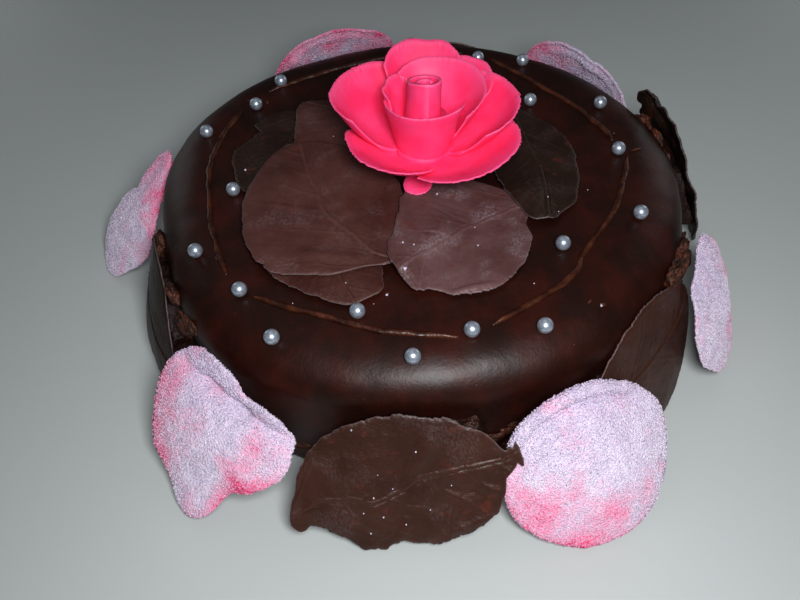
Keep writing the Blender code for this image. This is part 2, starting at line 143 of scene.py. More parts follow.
class Graph:
    """One material: its nodes are made by node(), and surface() ends it with a Principled BSDF."""

    def __init__(self, name: str) -> None:
        """Starts an empty material.

        Args:
            name: The material's name.
        """
        self.material = bpy.data.materials.new(name)
        self.material.use_nodes = True
        self.tree = self.material.node_tree
        self.tree.nodes.clear()
        place = self.node("ShaderNodeTexCoord", out="Object")
        self.place = self.node(
            "ShaderNodeVectorMath", {"operation": "SCALE"}, {"Vector": place, "Scale": 1 / MM}
        )

    def node(
        self,
        kind: str,
        settings: dict | None = None,
        sockets: dict | None = None,
        out: int | str = 0,
    ) -> Socket:
        """Adds a node.

        Args:
            kind: Blender's name of the node's type.
            settings: The node's own settings.
            sockets: Values or links for its input sockets, by name or number.
            out: The output that is wanted.

        Returns:
            That output.
        """
        made = self.tree.nodes.new(kind)
        for name, value in (settings or {}).items():
            setattr(made, name, value)
        for key, value in (sockets or {}).items():
            self._feed(made.inputs[key], value)
        return Socket(self, made.outputs[out])

    def _feed(self, target: bpy.types.NodeSocket, value: Value) -> None:
        """Links a socket to target, or sets target's own value.

        Args:
            target: The input to feed.
            value: A socket, a number or a colour.
        """
        if isinstance(value, Socket):
            self.tree.links.new(value.output, target)
        elif target.type == "RGBA" and len(value) == 3:
            target.default_value = (*value, 1.0)
        else:
            target.default_value = value

    def attribute(self, name: str) -> Socket:
        """A number that the mesh carries at each point."""
        return self.node("ShaderNodeAttribute", {"attribute_name": name}, out="Fac")

    def height(self) -> Socket:
        """Height over the floor in millimetres."""
        return self.node("ShaderNodeSeparateXYZ", None, {0: self.place}, 2)

    def uv(self) -> Socket:
        """The piece's own UV map."""
        return self.node("ShaderNodeUVMap")

    def noise(self, size: float, detail: float = 2.0, rough: float = 0.5, at: Value | None = None) -> Socket:
        """Cloudy noise from 0 to 1.

        Args:
            size: How large its patches are, in millimetres, or in the units of at.
            detail: How many finer layers it has.
            rough: How strong the finer layers are.
            at: Where it is read, if not in millimetres on the cake.

        Returns:
            The noise.
        """
        sockets = {"Vector": at or self.place, "Scale": 1 / size, "Detail": detail, "Roughness": rough}
        return self.node("ShaderNodeTexNoise", None, sockets)

    def cells(self, size: float, feature: str = "F1", at: Value | None = None) -> Socket:
        """Distance in a pattern of cells of a size: to their middles, or with DISTANCE_TO_EDGE to their edges."""
        sockets = {"Vector": at or self.place, "Scale": 1 / size}
        return self.node("ShaderNodeTexVoronoi", {"feature": feature}, sockets, "Distance")

    def stretched(self, stretch: tuple[float, float, float], turn: float = 0.0, at: Value | None = None) -> Socket:
        """Coordinates scaled by stretch after a turn about Z in degrees, for streaks.

        Args:
            stretch: The scale along each axis.
            turn: Degrees about Z.
            at: The place to start from, or None for the place on the piece.

        Returns:
            The coordinates.
        """
        return self.node(
            "ShaderNodeMapping",
            None,
            {"Vector": at or self.place, "Scale": stretch, "Rotation": (0.0, 0.0, math.radians(turn))},
        )

    def mix(self, first: Value, second: Value, share: Value) -> Socket:
        """A colour between two colours."""
        return self.node(
            "ShaderNodeMix", {"data_type": "RGBA"}, {0: share, 6: first, 7: second}, 2
        )

    def bump(self, height: Value, distance: float, strength: float = 1.0, over: Value | None = None) -> Socket:
        """A normal tilted by a height pattern.

        Args:
            height: The pattern, from 0 to 1.
            distance: How high 1 stands, in millimetres.
            strength: How much of it shows.
            over: A coarser normal that this one is laid on.

        Returns:
            The normal.
        """
        sockets = {"Height": height, "Distance": distance * MM, "Strength": strength}
        if over is not None:
            sockets["Normal"] = over
        return self.node("ShaderNodeBump", None, sockets)

    def surface(self, **sockets: Value) -> bpy.types.Material:
        """Ends the material with a Principled BSDF.

        Args:
            **sockets: Its sockets, with spaces in their names written as underscores.

        Returns:
            The finished material.
        """
        named = {name.replace("_", " "): value for name, value in sockets.items()}
        shader = self.node("ShaderNodeBsdfPrincipled", None, named)
        output = self.tree.nodes.new("ShaderNodeOutputMaterial")
        self.tree.links.new(shader.output, output.inputs["Surface"])
        return self.material


@dataclass(frozen=True)
class GlazeFinish:
    """Set chocolate glaze, leathery and satin, torn open to brown crumb where the mesh says so."""

    near_black: Colour = (0.017, 0.0046, 0.0022)
    warm: Colour = (0.052, 0.0076, 0.0038)
    crumb_dark: Colour = (0.070, 0.020, 0.009)
    crumb_light: Colour = (0.270, 0.085, 0.035)

    def make(self) -> bpy.types.Material:
        """Builds the material.

        Returns:
            The material.
        """
        graph = Graph("chocolate_glaze")
        torn = graph.attribute("torn").step(0.35, 0.65)
        clouds = graph.noise(18.0, 4.0, 0.6)
        smears = graph.noise(5.0, 3.0, 0.6, at=graph.stretched((1.0, 0.35, 1.0), 20.0))
        coat = graph.mix(self.near_black, self.warm, clouds.step(0.35, 0.75) * 0.7 + smears.step(0.5, 0.8) * 0.3)
        crumbs = graph.noise(1.6, 3.0, 0.7)
        crumb = graph.mix(self.crumb_dark, self.crumb_light, crumbs.step(0.42, 0.75))
        wrinkles = graph.cells(1.7, "DISTANCE_TO_EDGE").step(0.0, 0.35)
        pits = graph.cells(4.6).step(0.10, 0.03) * graph.noise(9.0).step(0.5, 0.62)
        fine = graph.noise(0.55, 2.0, 0.6)
        normal = graph.bump(graph.noise(9.0, 3.0, 0.55), 0.8, 0.35)
        normal = graph.bump(wrinkles, 0.035, 0.4, normal)
        normal = graph.bump(fine, 0.05, 0.5, normal)
        normal = graph.bump(1.0 - pits, 0.25, 0.7, normal)
        normal = graph.bump(crumbs * torn, 1.6, 1.0, normal)
        rough = 0.365 + clouds * 0.10 + fine * 0.06
        return graph.surface(
            Base_Color=graph.mix(coat, crumb, torn),
            Roughness=rough + torn * 0.35,
            Normal=normal,
            IOR=1.42,
        )


@dataclass(frozen=True)
class PipedFinish:
    """The piped line: glaze piped on last, redder and glossier than the coat."""

    dark: Colour = (0.030, 0.008, 0.004)
    light: Colour = (0.090, 0.026, 0.011)

    def make(self) -> bpy.types.Material:
        """Builds the material.

        Returns:
            The material.
        """
        graph = Graph("piped_chocolate")
        clouds = graph.noise(7.0, 3.0, 0.6)
        normal = graph.bump(graph.noise(1.3, 2.0), 0.25, 0.7)
        return graph.surface(
            Base_Color=graph.mix(self.dark, self.light, clouds.step(0.35, 0.7)),
            Roughness=0.28 + clouds * 0.2,
            Normal=normal,
            IOR=1.5,
        )


@dataclass(frozen=True)
class LeafFinish:
    """Chocolate cast on a leaf: matt and mauve-brown, with fine veins and a rim painted lighter as highlight, and
    silvery patches that are partly a whitish film and partly painted sheen.

    Attributes:
        name: The material's name.
        dark: Its darker colour.
        light: Its lighter colour.
        bloom_and_sheen: How much silvery film and painted sheen lie on it, from 0 to 1.
        rough: Its roughness.
    """

    name: str
    dark: Colour
    light: Colour
    bloom_and_sheen: float
    rough: float
    silver: Colour = (0.260, 0.210, 0.225)
    stain: Colour = (0.120, 0.026, 0.014)

    def make(self) -> bpy.types.Material:
        """Builds the material.

        Returns:
            The material.
        """
        graph = Graph(self.name)
        rim = graph.attribute("rim")
        vein = graph.attribute("vein")
        uv = graph.uv()
        clouds = graph.noise(22.0, 5.0, 0.6)
        patches = graph.noise(13.0, 2.0, 0.5)
        grain = graph.noise(0.9, 3.0, 0.75)
        streaks = graph.noise(0.012, 3.0, 0.7, at=graph.stretched((1.5, 0.5, 1.0), 12.0, uv))
        net = graph.cells(0.016, "DISTANCE_TO_EDGE", at=uv).step(0.0, 0.16)
        colour = graph.mix(self.dark, self.light, clouds.step(0.3, 0.7) * 0.7 + grain * 0.3)
        # partly painted sheen: silvery patches in brushed streaks, partly a whitish film on the chocolate and partly a
        # sheen painted into the colour
        bloom_and_sheen_patches = (streaks * 0.6 + grain * 0.4).step(0.42, 0.66) * patches.step(0.48, 0.66)
        colour = graph.mix(colour, self.silver, bloom_and_sheen_patches * self.bloom_and_sheen)
        stains = graph.noise(7.0, 3.0, 0.65).step(0.60, 0.72)
        colour = graph.mix(colour, self.stain, stains * 0.5)
        # painted highlight: the raised veins are mixed towards the lighter colour, as if they caught the light
        colour = graph.mix(colour, self.light, vein.step(0.3, 0.9) * 0.7)
        # painted highlight: the rim is mixed towards silver, as if its edge caught the light
        colour = graph.mix(colour, self.silver, rim.step(0.6, 1.0) * (0.1 + grain * 0.35))
        normal = graph.bump(graph.noise(4.0, 3.0, 0.6), 0.30, 0.5)
        normal = graph.bump(net, 0.05, 0.6, normal)
        normal = graph.bump(streaks * 0.5 + grain, 0.09, 0.6, normal)
        return graph.surface(
            Base_Color=colour,
            Roughness=self.rough + clouds * 0.12,
            Normal=normal,
            IOR=1.46,
        )


@dataclass(frozen=True)
class PasteFinish:
    """Hot pink sugar paste, smooth and matt, a little paler at the dry rims."""

    deep: Colour = (1.000, 0.044, 0.175)
    bright: Colour = (1.000, 0.080, 0.250)
    dry: Colour = (1.000, 0.170, 0.370)

    def make(self) -> bpy.types.Material:
        """Builds the material.

        Returns:
            The material.
        """
        graph = Graph("pink_sugar_paste")
        clouds = graph.noise(12.0, 3.0)
        colour = graph.mix(self.deep, self.bright, clouds.step(0.3, 0.7))
        crumbs = graph.noise(1.0, 2.0, 0.7)
        colour = graph.mix(colour, self.dry, graph.attribute("rim").step(0.5, 1.0) * (0.15 + crumbs * 0.6))
        normal = graph.bump(graph.noise(5.0, 3.0), 0.35, 0.4)
        normal = graph.bump(graph.noise(0.5, 2.0), 0.03, 0.5, normal)
        return graph.surface(
            Base_Color=colour,
            Roughness=0.48 + clouds * 0.1,
            Normal=normal,
            Subsurface_Weight=0.25,
            Subsurface_Radius=(1.0, 0.25, 0.35),
            Subsurface_Scale=2.5 * MM,
        )


@dataclass(frozen=True)
class SugarFinish:
    """Sugar over a pink petal: lavender white, with the pink showing through where it lies thin.

    Attributes:
        name: The material's name.
        grain: Whether it is for the loose crystals rather than for the coat under them.
    """

    name: str
    grain: bool
    white: Colour = (0.840, 0.750, 0.890)
    lilac: Colour = (0.600, 0.500, 0.660)
    pink: Colour = (0.940, 0.300, 0.480)
    hot: Colour = (0.900, 0.050, 0.200)

    def make(self) -> bpy.types.Material:
        """Builds the material.

        Returns:
            The material.
        """
        graph = Graph(self.name)
        bare = graph.attribute("bare")
        specks = graph.noise(0.8, 1.0, 0.7)
        clouds = graph.noise(7.0, 3.0, 0.65)
        patches = clouds.step(0.60, 0.40) * 0.25 + specks.step(0.6, 0.4) * 0.35
        # painted shade: the higher parts of the petals are mixed towards grey lilac, as less light falls on them there
        painted_shade_high = graph.height().step(27.0, 46.0) * 0.42
        colour = graph.mix(self.white, self.lilac, patches + painted_shade_high)
        flush = (bare * 0.95 + clouds * 0.30 + specks * 0.9 - 0.58).step(0.0, 0.75)
        colour = graph.mix(colour, self.pink, flush * (0.55 if self.grain else 0.9))
        burnt = (bare + specks * 1.5 - 1.0).step(0.4, 0.8)
        colour = graph.mix(colour, self.hot, burnt * (0.5 if self.grain else 0.95))
        normal = graph.bump(graph.cells(0.75).step(0.75, 0.0), 0.35, 0.9)
        return graph.surface(
            Base_Color=colour,
            Roughness=0.32 if self.grain else 0.7,
            Normal=normal,
            Subsurface_Weight=0.2,
            Subsurface_Radius=(1.0, 0.6, 0.8),
            Subsurface_Scale=0.8 * MM,
        )


@dataclass(frozen=True)
class PearlFinish:
    """Silvered sugar pearls with a satin shine."""

    silver: Colour = (0.560, 0.620, 0.710)
    shade: Colour = (0.380, 0.430, 0.510)

    def make(self) -> bpy.types.Material:
        """Builds the material.

        Returns:
            The material.
        """
        graph = Graph("silver_pearl")
        clouds = graph.noise(1.5, 2.0)
        normal = graph.bump(graph.noise(0.5, 2.0), 0.02, 0.5)
        return graph.surface(
            Base_Color=graph.mix(self.silver, self.shade, clouds.step(0.35, 0.7)),
            Metallic=0.7,
            Roughness=0.28 + clouds * 0.12,
            Normal=normal,
        )


def on_bearing(degrees: float, distance: float, height: float = 0.0) -> Vector:
    """The point at a bearing and a distance from the cake's axis."""
    angle = math.radians(degrees)
    return Vector((distance * math.cos(angle), distance * math.sin(angle), height))


def follow(table: Sequence[tuple[float, float]], place: float) -> float:
    """The value of a table of (place, value) at a place, going smoothly from stop to stop.

    Args:
        table: The stops, in the order of their places.
        place: Where the value is wanted.

    Returns:
        The value.
    """
    if not table or place <= table[0][0]:
        return table[0][1] if table else 0.0
    for (start, low), (end, high) in zip(table, table[1:]):
        if place <= end:
            share = (place - start) / (end - start)
            return low + (high - low) * share * share * (3 - 2 * share)
    return table[-1][1]


def bump_at(value: float, middle: float, width: float) -> float:
    """A smooth hump of height 1 at middle."""
    return math.exp(-(((value - middle) / width) ** 2))


def turn_between(first: float, second: float) -> float:
    """The smallest turn between two bearings, in degrees."""
    return abs((first - second + 180) % 360 - 180)


def through(points: Sequence[Vector], step: float) -> list[Vector]:
    """A smooth curve through points.

    Args:
        points: The points.
        step: About how far apart the curve's own points are.

    Returns:
        The curve's points.
    """
    route = []
    padded = [2 * points[0] - points[1], *points, 2 * points[-1] - points[-2]]
    for before, start, end, after in zip(padded, padded[1:], padded[2:], padded[3:]):
        steps = max(1, round((end - start).length / step))
        for count in range(steps):
            t = count / steps
            bend = (2 * before - 5 * start + 4 * end - after) * t**2
            twist = (3 * start - before - 3 * end + after) * t**3
            route.append(0.5 * (2 * start + (end - before) * t + bend + twist))
    return [*route, points[-1]]


def sheet(along: int, across: int) -> Mesh:
    """A flat grid from (0, -1) to (1, 1), for a shape that is bent from it.

    Args:
        along: Faces along X.
        across: Faces along Y.

    Returns:
        The mesh.
    """
    bm = bmesh.new()
    bmesh.ops.create_grid(bm, x_segments=along, y_segments=across, size=1.0)
    bmesh.ops.scale(bm, vec=(0.5, 1.0, 1.0), verts=bm.verts)
    bmesh.ops.translate(bm, vec=(0.5, 0.0, 0.0), verts=bm.verts)
    return bm


def disc(spokes: int, rings: int) -> Mesh:
    """A flat round sheet of radius 1: a fan in its middle and rings of faces round it.

    Args:
        spokes: Points in each ring.
        rings: Rings, with the fan as the first.

    Returns:
        The mesh.
    """
    bm = bmesh.new()
    bmesh.ops.create_circle(bm, cap_ends=True, cap_tris=True, segments=spokes, radius=1 / rings)
    for ring in range(2, rings + 1):
        edge = [e for e in bm.edges if e.is_boundary]
        grown = bmesh.ops.extrude_edge_only(bm, edges=edge)["geom"]
        for vert in (v for v in grown if isinstance(v, bmesh.types.BMVert)):
            vert.co = vert.co.normalized() * (ring / rings)

    def order(place: Vector) -> float:
        """Ring first, then angle, because extruding leaves an order that differs from run to run."""
        return round(place.length * rings * 2) * 10 + math.atan2(place.y, place.x) % math.tau

    bm.verts.sort(key=lambda vert: order(vert.co))
    bm.edges.sort(key=lambda edge: order((edge.verts[0].co + edge.verts[1].co) / 2))
    bm.faces.sort(key=lambda face: order(face.calc_center_median()))
    for elements in (bm.verts, bm.edges, bm.faces):
        elements.index_update()
    bmesh.ops.recalc_face_normals(bm, faces=bm.faces)
    return bm


def layer(bm: Mesh, name: str) -> bmesh.types.BMLayerItem:
    """A number that each point of the mesh carries, under a name."""
    return bm.verts.layers.float.get(name) or bm.verts.layers.float.new(name)


def apply_modifiers(obj: bpy.types.Object) -> None:
    """Applies an object's modifiers.

    Args:
        obj: The object.
    """
    bpy.context.view_layer.update()
    graph = bpy.context.evaluated_depsgraph_get()
    mesh = bpy.data.meshes.new_from_object(obj.evaluated_get(graph))
    obj.modifiers.clear()
    obj.data = mesh


def add_piece(
    name: str, bm: Mesh, finish: bpy.types.Material, nodes: Sequence[str] = ()
) -> bpy.types.Object:
    """Turns a mesh in millimetres into a piece that rides on the cake.

    Args:
        name: The piece's name.
        bm: Its mesh, which is used up.
        finish: Its material.
        nodes: The solids that it stands for.

    Returns:
        The piece.
    """
    bmesh.ops.scale(bm, vec=(MM, MM, MM), verts=bm.verts)
    mesh = bpy.data.meshes.new(name)
    bm.to_mesh(mesh)
    bm.free()
    mesh.shade_smooth()
    obj = bpy.data.objects.new(name, mesh)
    obj.data.materials.append(finish)
    bpy.context.scene.collection.objects.link(obj)
    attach(obj, "root")
    if nodes:
        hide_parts(*nodes)
    return obj


def thicken(obj: bpy.types.Object, thickness: float, thin_rim: float) -> None:
    """Gives a sheet its thickness, half to each side, thinner where its "rim" is 1.

    Args:
        obj: The sheet.
        thickness: Its thickness in millimetres.
        thin_rim: The share of it that is left at the rim.
    """
    group = obj.vertex_groups.new(name="thickness")
    rims = obj.data.attributes["rim"].data
    for i, rim in enumerate(rims):
        group.add([i], 1 - (1 - thin_rim) * rim.value, "REPLACE")
    solid = obj.modifiers.new("thickness", "SOLIDIFY")
    solid.thickness = thickness * MM
    solid.offset = 0.0
    solid.vertex_group = group.name
    apply_modifiers(obj)
    obj.vertex_groups.clear()


@dataclass(frozen=True)
class TornPatch:
    """Where the coat on the side is torn down to the crumb.

    Attributes:
        bearing: The middle of the patch.
        half_turn: How far it reaches to each side, in degrees.
        top: How high it reaches.
    """

    bearing: float
    half_turn: float
    top: float


@dataclass(frozen=True)
class Torte:
    """The glazed cake: a turned body whose outline waves; its piped line and its pearls are built on it by PipedLine
    and Pearls.
    """

    radius: float = 114.0
    height: float = 61.3
    shoulder_width: float = 21.5
    shoulder_drop: float = 16.7
    base_round: float = 2.5
    crown: float = 0.8
    bulge: float = 0.6
    waves: tuple = ((2, 0.5, -0.4), (3, 0.8, 1.1), (4, -0.7, -0.5), (5, 0.4, 1.1))
    sides: int = 320
    top_rings: int = 44
    shoulder_rings: int = 22
    side_rings: int = 18
    torn_patches: tuple = (
        TornPatch(186, 17, 44),
        TornPatch(206, 9, 38),
        TornPatch(352, 16, 42),
        TornPatch(334, 9, 34),
        TornPatch(312, 10, 30),
        TornPatch(60, 12, 34),
        TornPatch(128, 12, 34),
        TornPatch(95, 6, 28),
    )
    uneven: float = 0.55
    dents: float = 0.3
    torn_depth: float = 1.4

    def offset(self, x: float, y: float) -> float:
        """How far the outline stands out of its circle on the side of a point."""
        angle = math.atan2(y, x)
        return sum(c * math.cos(n * angle) + s * math.sin(n * angle) for n, c, s in self.waves)

    def top(self, x: float, y: float) -> float:
        """Height of the top surface over the base.

        Args:
            x: Place from the axis, in millimetres.
            y: The same along Y.

        Returns:
            The height in millimetres.
        """
        distance = math.hypot(x, y)
        flat = self.radius - self.shoulder_width + self.offset(x, y)
        if distance <= flat:
            return self.height + self.crown * (1 - (distance / flat) ** 2)
        out = min((distance - flat) / self.shoulder_width, 1.0)
        return self.height - self.shoulder_drop * (1 - math.sqrt(1 - out * out))

    def section(self) -> list[tuple[float, float]]:
        """Points (distance, height) down the section, from the top's centre to the base's centre.

        Returns:
            The points, in millimetres.
        """
        flat = self.radius - self.shoulder_width
        points = []
        for ring in range(self.top_rings):
            share = ring / self.top_rings
            points.append((share * flat, self.height + self.crown * (1 - share * share)))
        for ring in range(self.shoulder_rings + 1):
            turn = math.pi / 2 * ring / self.shoulder_rings
            drop = self.shoulder_drop * (1 - math.cos(turn))
            points.append((flat + self.shoulder_width * math.sin(turn), self.height - drop))
        shoulder = self.height - self.shoulder_drop
        for ring in range(1, self.side_rings + 1):
            share = ring / self.side_rings
            out = self.radius + self.bulge * math.sin(math.pi * share)
            points.append((out, shoulder + (self.base_round - shoulder) * share))
        points += [(self.radius - self.base_round, 0.0), (self.radius / 2, 0.0), (0.0, 0.0)]
        return points

    def torn(self, place: Vector) -> float:
        """How far the coat is torn open at a place, from 0 to 1.

        Args:
            place: A point of the surface, in millimetres.

        Returns:
            The share.
        """
        bearing = math.degrees(math.atan2(place.y, place.x))
        ragged = 9 * noise.fractal(place * 0.06, 0.8, 2.0, 3) + 4 * noise.noise(place * 0.3)
        found = 0.0
        for patch in self.torn_patches:
            within = 1 - turn_between(bearing, patch.bearing) / patch.half_turn
            under = (patch.top + ragged - place.z) / 12
            found = max(found, min(within * 3 + ragged * 0.1, under, 1.0))
        return max(found, 0.0)

    def body(self, finish: bpy.types.Material) -> bpy.types.Object:
        """Builds the glazed body.

        Args:
            finish: The glaze.

        Returns:
            The piece.
        """
        bm = bmesh.new()
        verts = [bm.verts.new((r, 0.0, z)) for r, z in self.section()]
        edges = [bm.edges.new(pair) for pair in zip(verts, verts[1:])]
        bmesh.ops.spin(
            bm, geom=verts + edges, cent=(0, 0, 0), axis=(0, 0, 1), dvec=(0, 0, 0),
            angle=math.tau, steps=self.sides, use_merge=True, use_duplicate=False,
        )
        bmesh.ops.remove_doubles(bm, verts=bm.verts, dist=0.01)
        for vert in bm.verts:
            vert.co.xy *= 1 + self.offset(vert.co.x, vert.co.y) / self.radius
        bmesh.ops.recalc_face_normals(bm, faces=bm.faces)
        bm.normal_update()
        torn = layer(bm, "torn")
        moved = {}
        for vert in bm.verts:
            vert[torn] = self.torn(vert.co) if vert.co.z < self.height - 4 else 0.0
            standing = min(vert.co.z / 8, 1.0)
            rise = self.uneven * noise.fractal(vert.co * 0.02, 1.0, 2.0, 3)
            rise += self.dents * noise.noise(vert.co * 0.09)
            crumb = 0.5 + noise.fractal(vert.co * 0.28, 0.7, 2.0, 3)
            moved[vert] = vert.normal * (rise - self.torn_depth * vert[torn] * crumb) * standing
        for vert, move in moved.items():
            vert.co += move
        return add_piece("glazed_torte", bm, finish, ("cake",))


@dataclass(frozen=True)
class PipedLine:
    """The line piped on the top, in swags between the corner pearls, as (bearing, distance)."""

    cake: Torte
    swags: tuple = (
        ((284, 91.5), (291, 88.5), (304, 87), (312, 86), (317, 83), (328, 83), (339, 85), (352, 88), (360, 91)),
        ((8, 88.5), (16, 86.5), (28, 84.5), (42, 83.7), (52, 86), (63, 92)),
        ((72, 93), (88, 89), (105, 87.5), (122, 89), (136, 93.5)),
        ((147, 94), (159, 92), (172, 90.5), (184, 88.5), (195, 89), (205, 90.5), (216, 94)),
        ((226, 93.5), (234, 90.5), (242, 88.4), (249, 88), (258, 89.5), (269, 91), (276, 93.5)),
    )
    width: float = 2.5
    height: float = 1.1
    sunk: float = 0.5
    step: float = 0.9
    arc: int = 10

    def build(self, finish: bpy.types.Material) -> bpy.types.Object:
        """Builds all swags as one piece.

        Args:
            finish: Its material.

        Returns:
            The piece.
        """
        bm = bmesh.new()
        for swag in self.swags:
            self._swag(bm, through([on_bearing(*corner) for corner in swag], self.step))
        bmesh.ops.recalc_face_normals(bm, faces=bm.faces)
        return add_piece("piped_line", bm, finish)

    def _swag(self, bm: Mesh, route: list[Vector]) -> None:
        """Adds one swag: rings of points bridged along its route, thin at both ends.

        Args:
            bm: The mesh that it is added to.
            route: Points along its middle.
        """
        loops = []
        last = len(route) - 1
        for i, point in enumerate(route):
            ahead = (route[min(i + 1, last)] - route[max(i - 1, 0)]).normalized()
            across = Vector((-ahead.y, ahead.x, 0.0))
            taper = min(1.0, 0.3 + 0.12 * min(i, last - i))
            flow = noise.noise(point * 0.12)
            wide = self.width * taper * (1 + 0.35 * flow + 0.15 * noise.noise(point * 0.6)) / 2
            high = self.height * taper * (1 - 0.4 * flow + 0.2 * noise.noise(point * 0.5))
            point = point + across * 0.5 * noise.noise(point * 0.2)
            level = self.cake.top(point.x, point.y)
            ring = []
            for step in range(self.arc + 1):
                turn = math.pi * step / self.arc
                up = high * math.sin(turn) if 0 < step < self.arc else -self.sunk
                corner = point + across * (wide * math.cos(turn))
                ring.append(bm.verts.new((corner.x, corner.y, level + up)))
            loops.append([bm.edges.new(pair) for pair in zip(ring, ring[1:] + ring[:1])])
        for start, end in zip(loops, loops[1:]):
            bmesh.ops.bridge_loops(bm, edges=start + end)
        bmesh.ops.holes_fill(bm, edges=loops[0] + loops[-1], sides=self.arc + 1)


@dataclass(frozen=True)
class Pearls:
    """The silver sugar pearls on the top, as (bearing, distance)."""

    cake: Torte
    on_corners: tuple = ((2, 87.7), (66, 87.5), (144, 88.9), (223, 95.7), (279, 92.6))
    inside: tuple = ((37, 69.5), (105, 75), (186, 77.8), (252, 83.8), (316, 74.8))
    outside: tuple = (
        (23, 94.4), (53, 94.6), (88, 97), (131, 93.3), (160, 99.3),
        (205, 98.9), (237, 104.5), (266, 100.7), (294, 99.7), (337, 95),
    )
    diameter: float = 6.0
    sunk: float = 0.7

    def build(self, finish: bpy.types.Material) -> bpy.types.Object:
        """Builds all pearls as one piece.

        Args:
            finish: Its material.

        Returns:
            The piece.
        """
        bm = bmesh.new()
        radius = self.diameter / 2
        for bearing, distance in self.on_corners + self.inside + self.outside:
            place = on_bearing(bearing, distance)
            place.z = self.cake.top(place.x, place.y) + radius - self.sunk
            bmesh.ops.create_uvsphere(
                bm, u_segments=28, v_segments=18, radius=radius, matrix=Matrix.Translation(place)
            )
        return add_piece("sugar_pearls", bm, finish)


@dataclass(frozen=True)
class Lean:
    """How a piece leans on the cake's side: its bearing, where its foot is, its lean and its wrap."""

    bearing: float
    foot: float
    lean: float
    wrap: float

    def point(self, radius: float, flat: Vector, out: float) -> Vector:
        """A point of the leaning piece.

        Args:
            radius: The cake's radius, which the piece wraps round.
            flat: The point's place on the piece: along the side, and up the slope.
            out: How far it stands off the slope.

        Returns:
            The point in the cake's frame.
        """
        bearing, lean = math.radians(self.bearing), math.radians(self.lean)
        outward = Vector((math.cos(bearing), math.sin(bearing), 0.0))
        sideways = Vector((-math.sin(bearing), math.cos(bearing), 0.0))
        upward = -outward * math.sin(lean) + Vector((0, 0, math.cos(lean)))
        normal = outward * math.cos(lean) + Vector((0, 0, math.sin(lean)))
        wrapped = out - self.wrap * flat.x**2 / (2 * radius)
        return outward * self.foot + sideways * flat.x + upward * flat.y + normal * wrapped


def box_middle(bm: Mesh) -> Vector:
    """The middle of a mesh's box.

    Args:
        bm: The mesh.

    Returns:
        The middle.
    """
    places = [vert.co for vert in bm.verts]
    low = Vector(min(p[i] for p in places) for i in range(3))
    high = Vector(max(p[i] for p in places) for i in range(3))
    return (low + high) / 2


def set_on_solid(bm: Mesh, node: str) -> None:
    """Moves a sheet so that its box has the same middle as its solid's."""
    low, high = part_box(node)
    bmesh.ops.translate(bm, vec=(low + high) / (2 * MM) - box_middle(bm), verts=bm.verts)


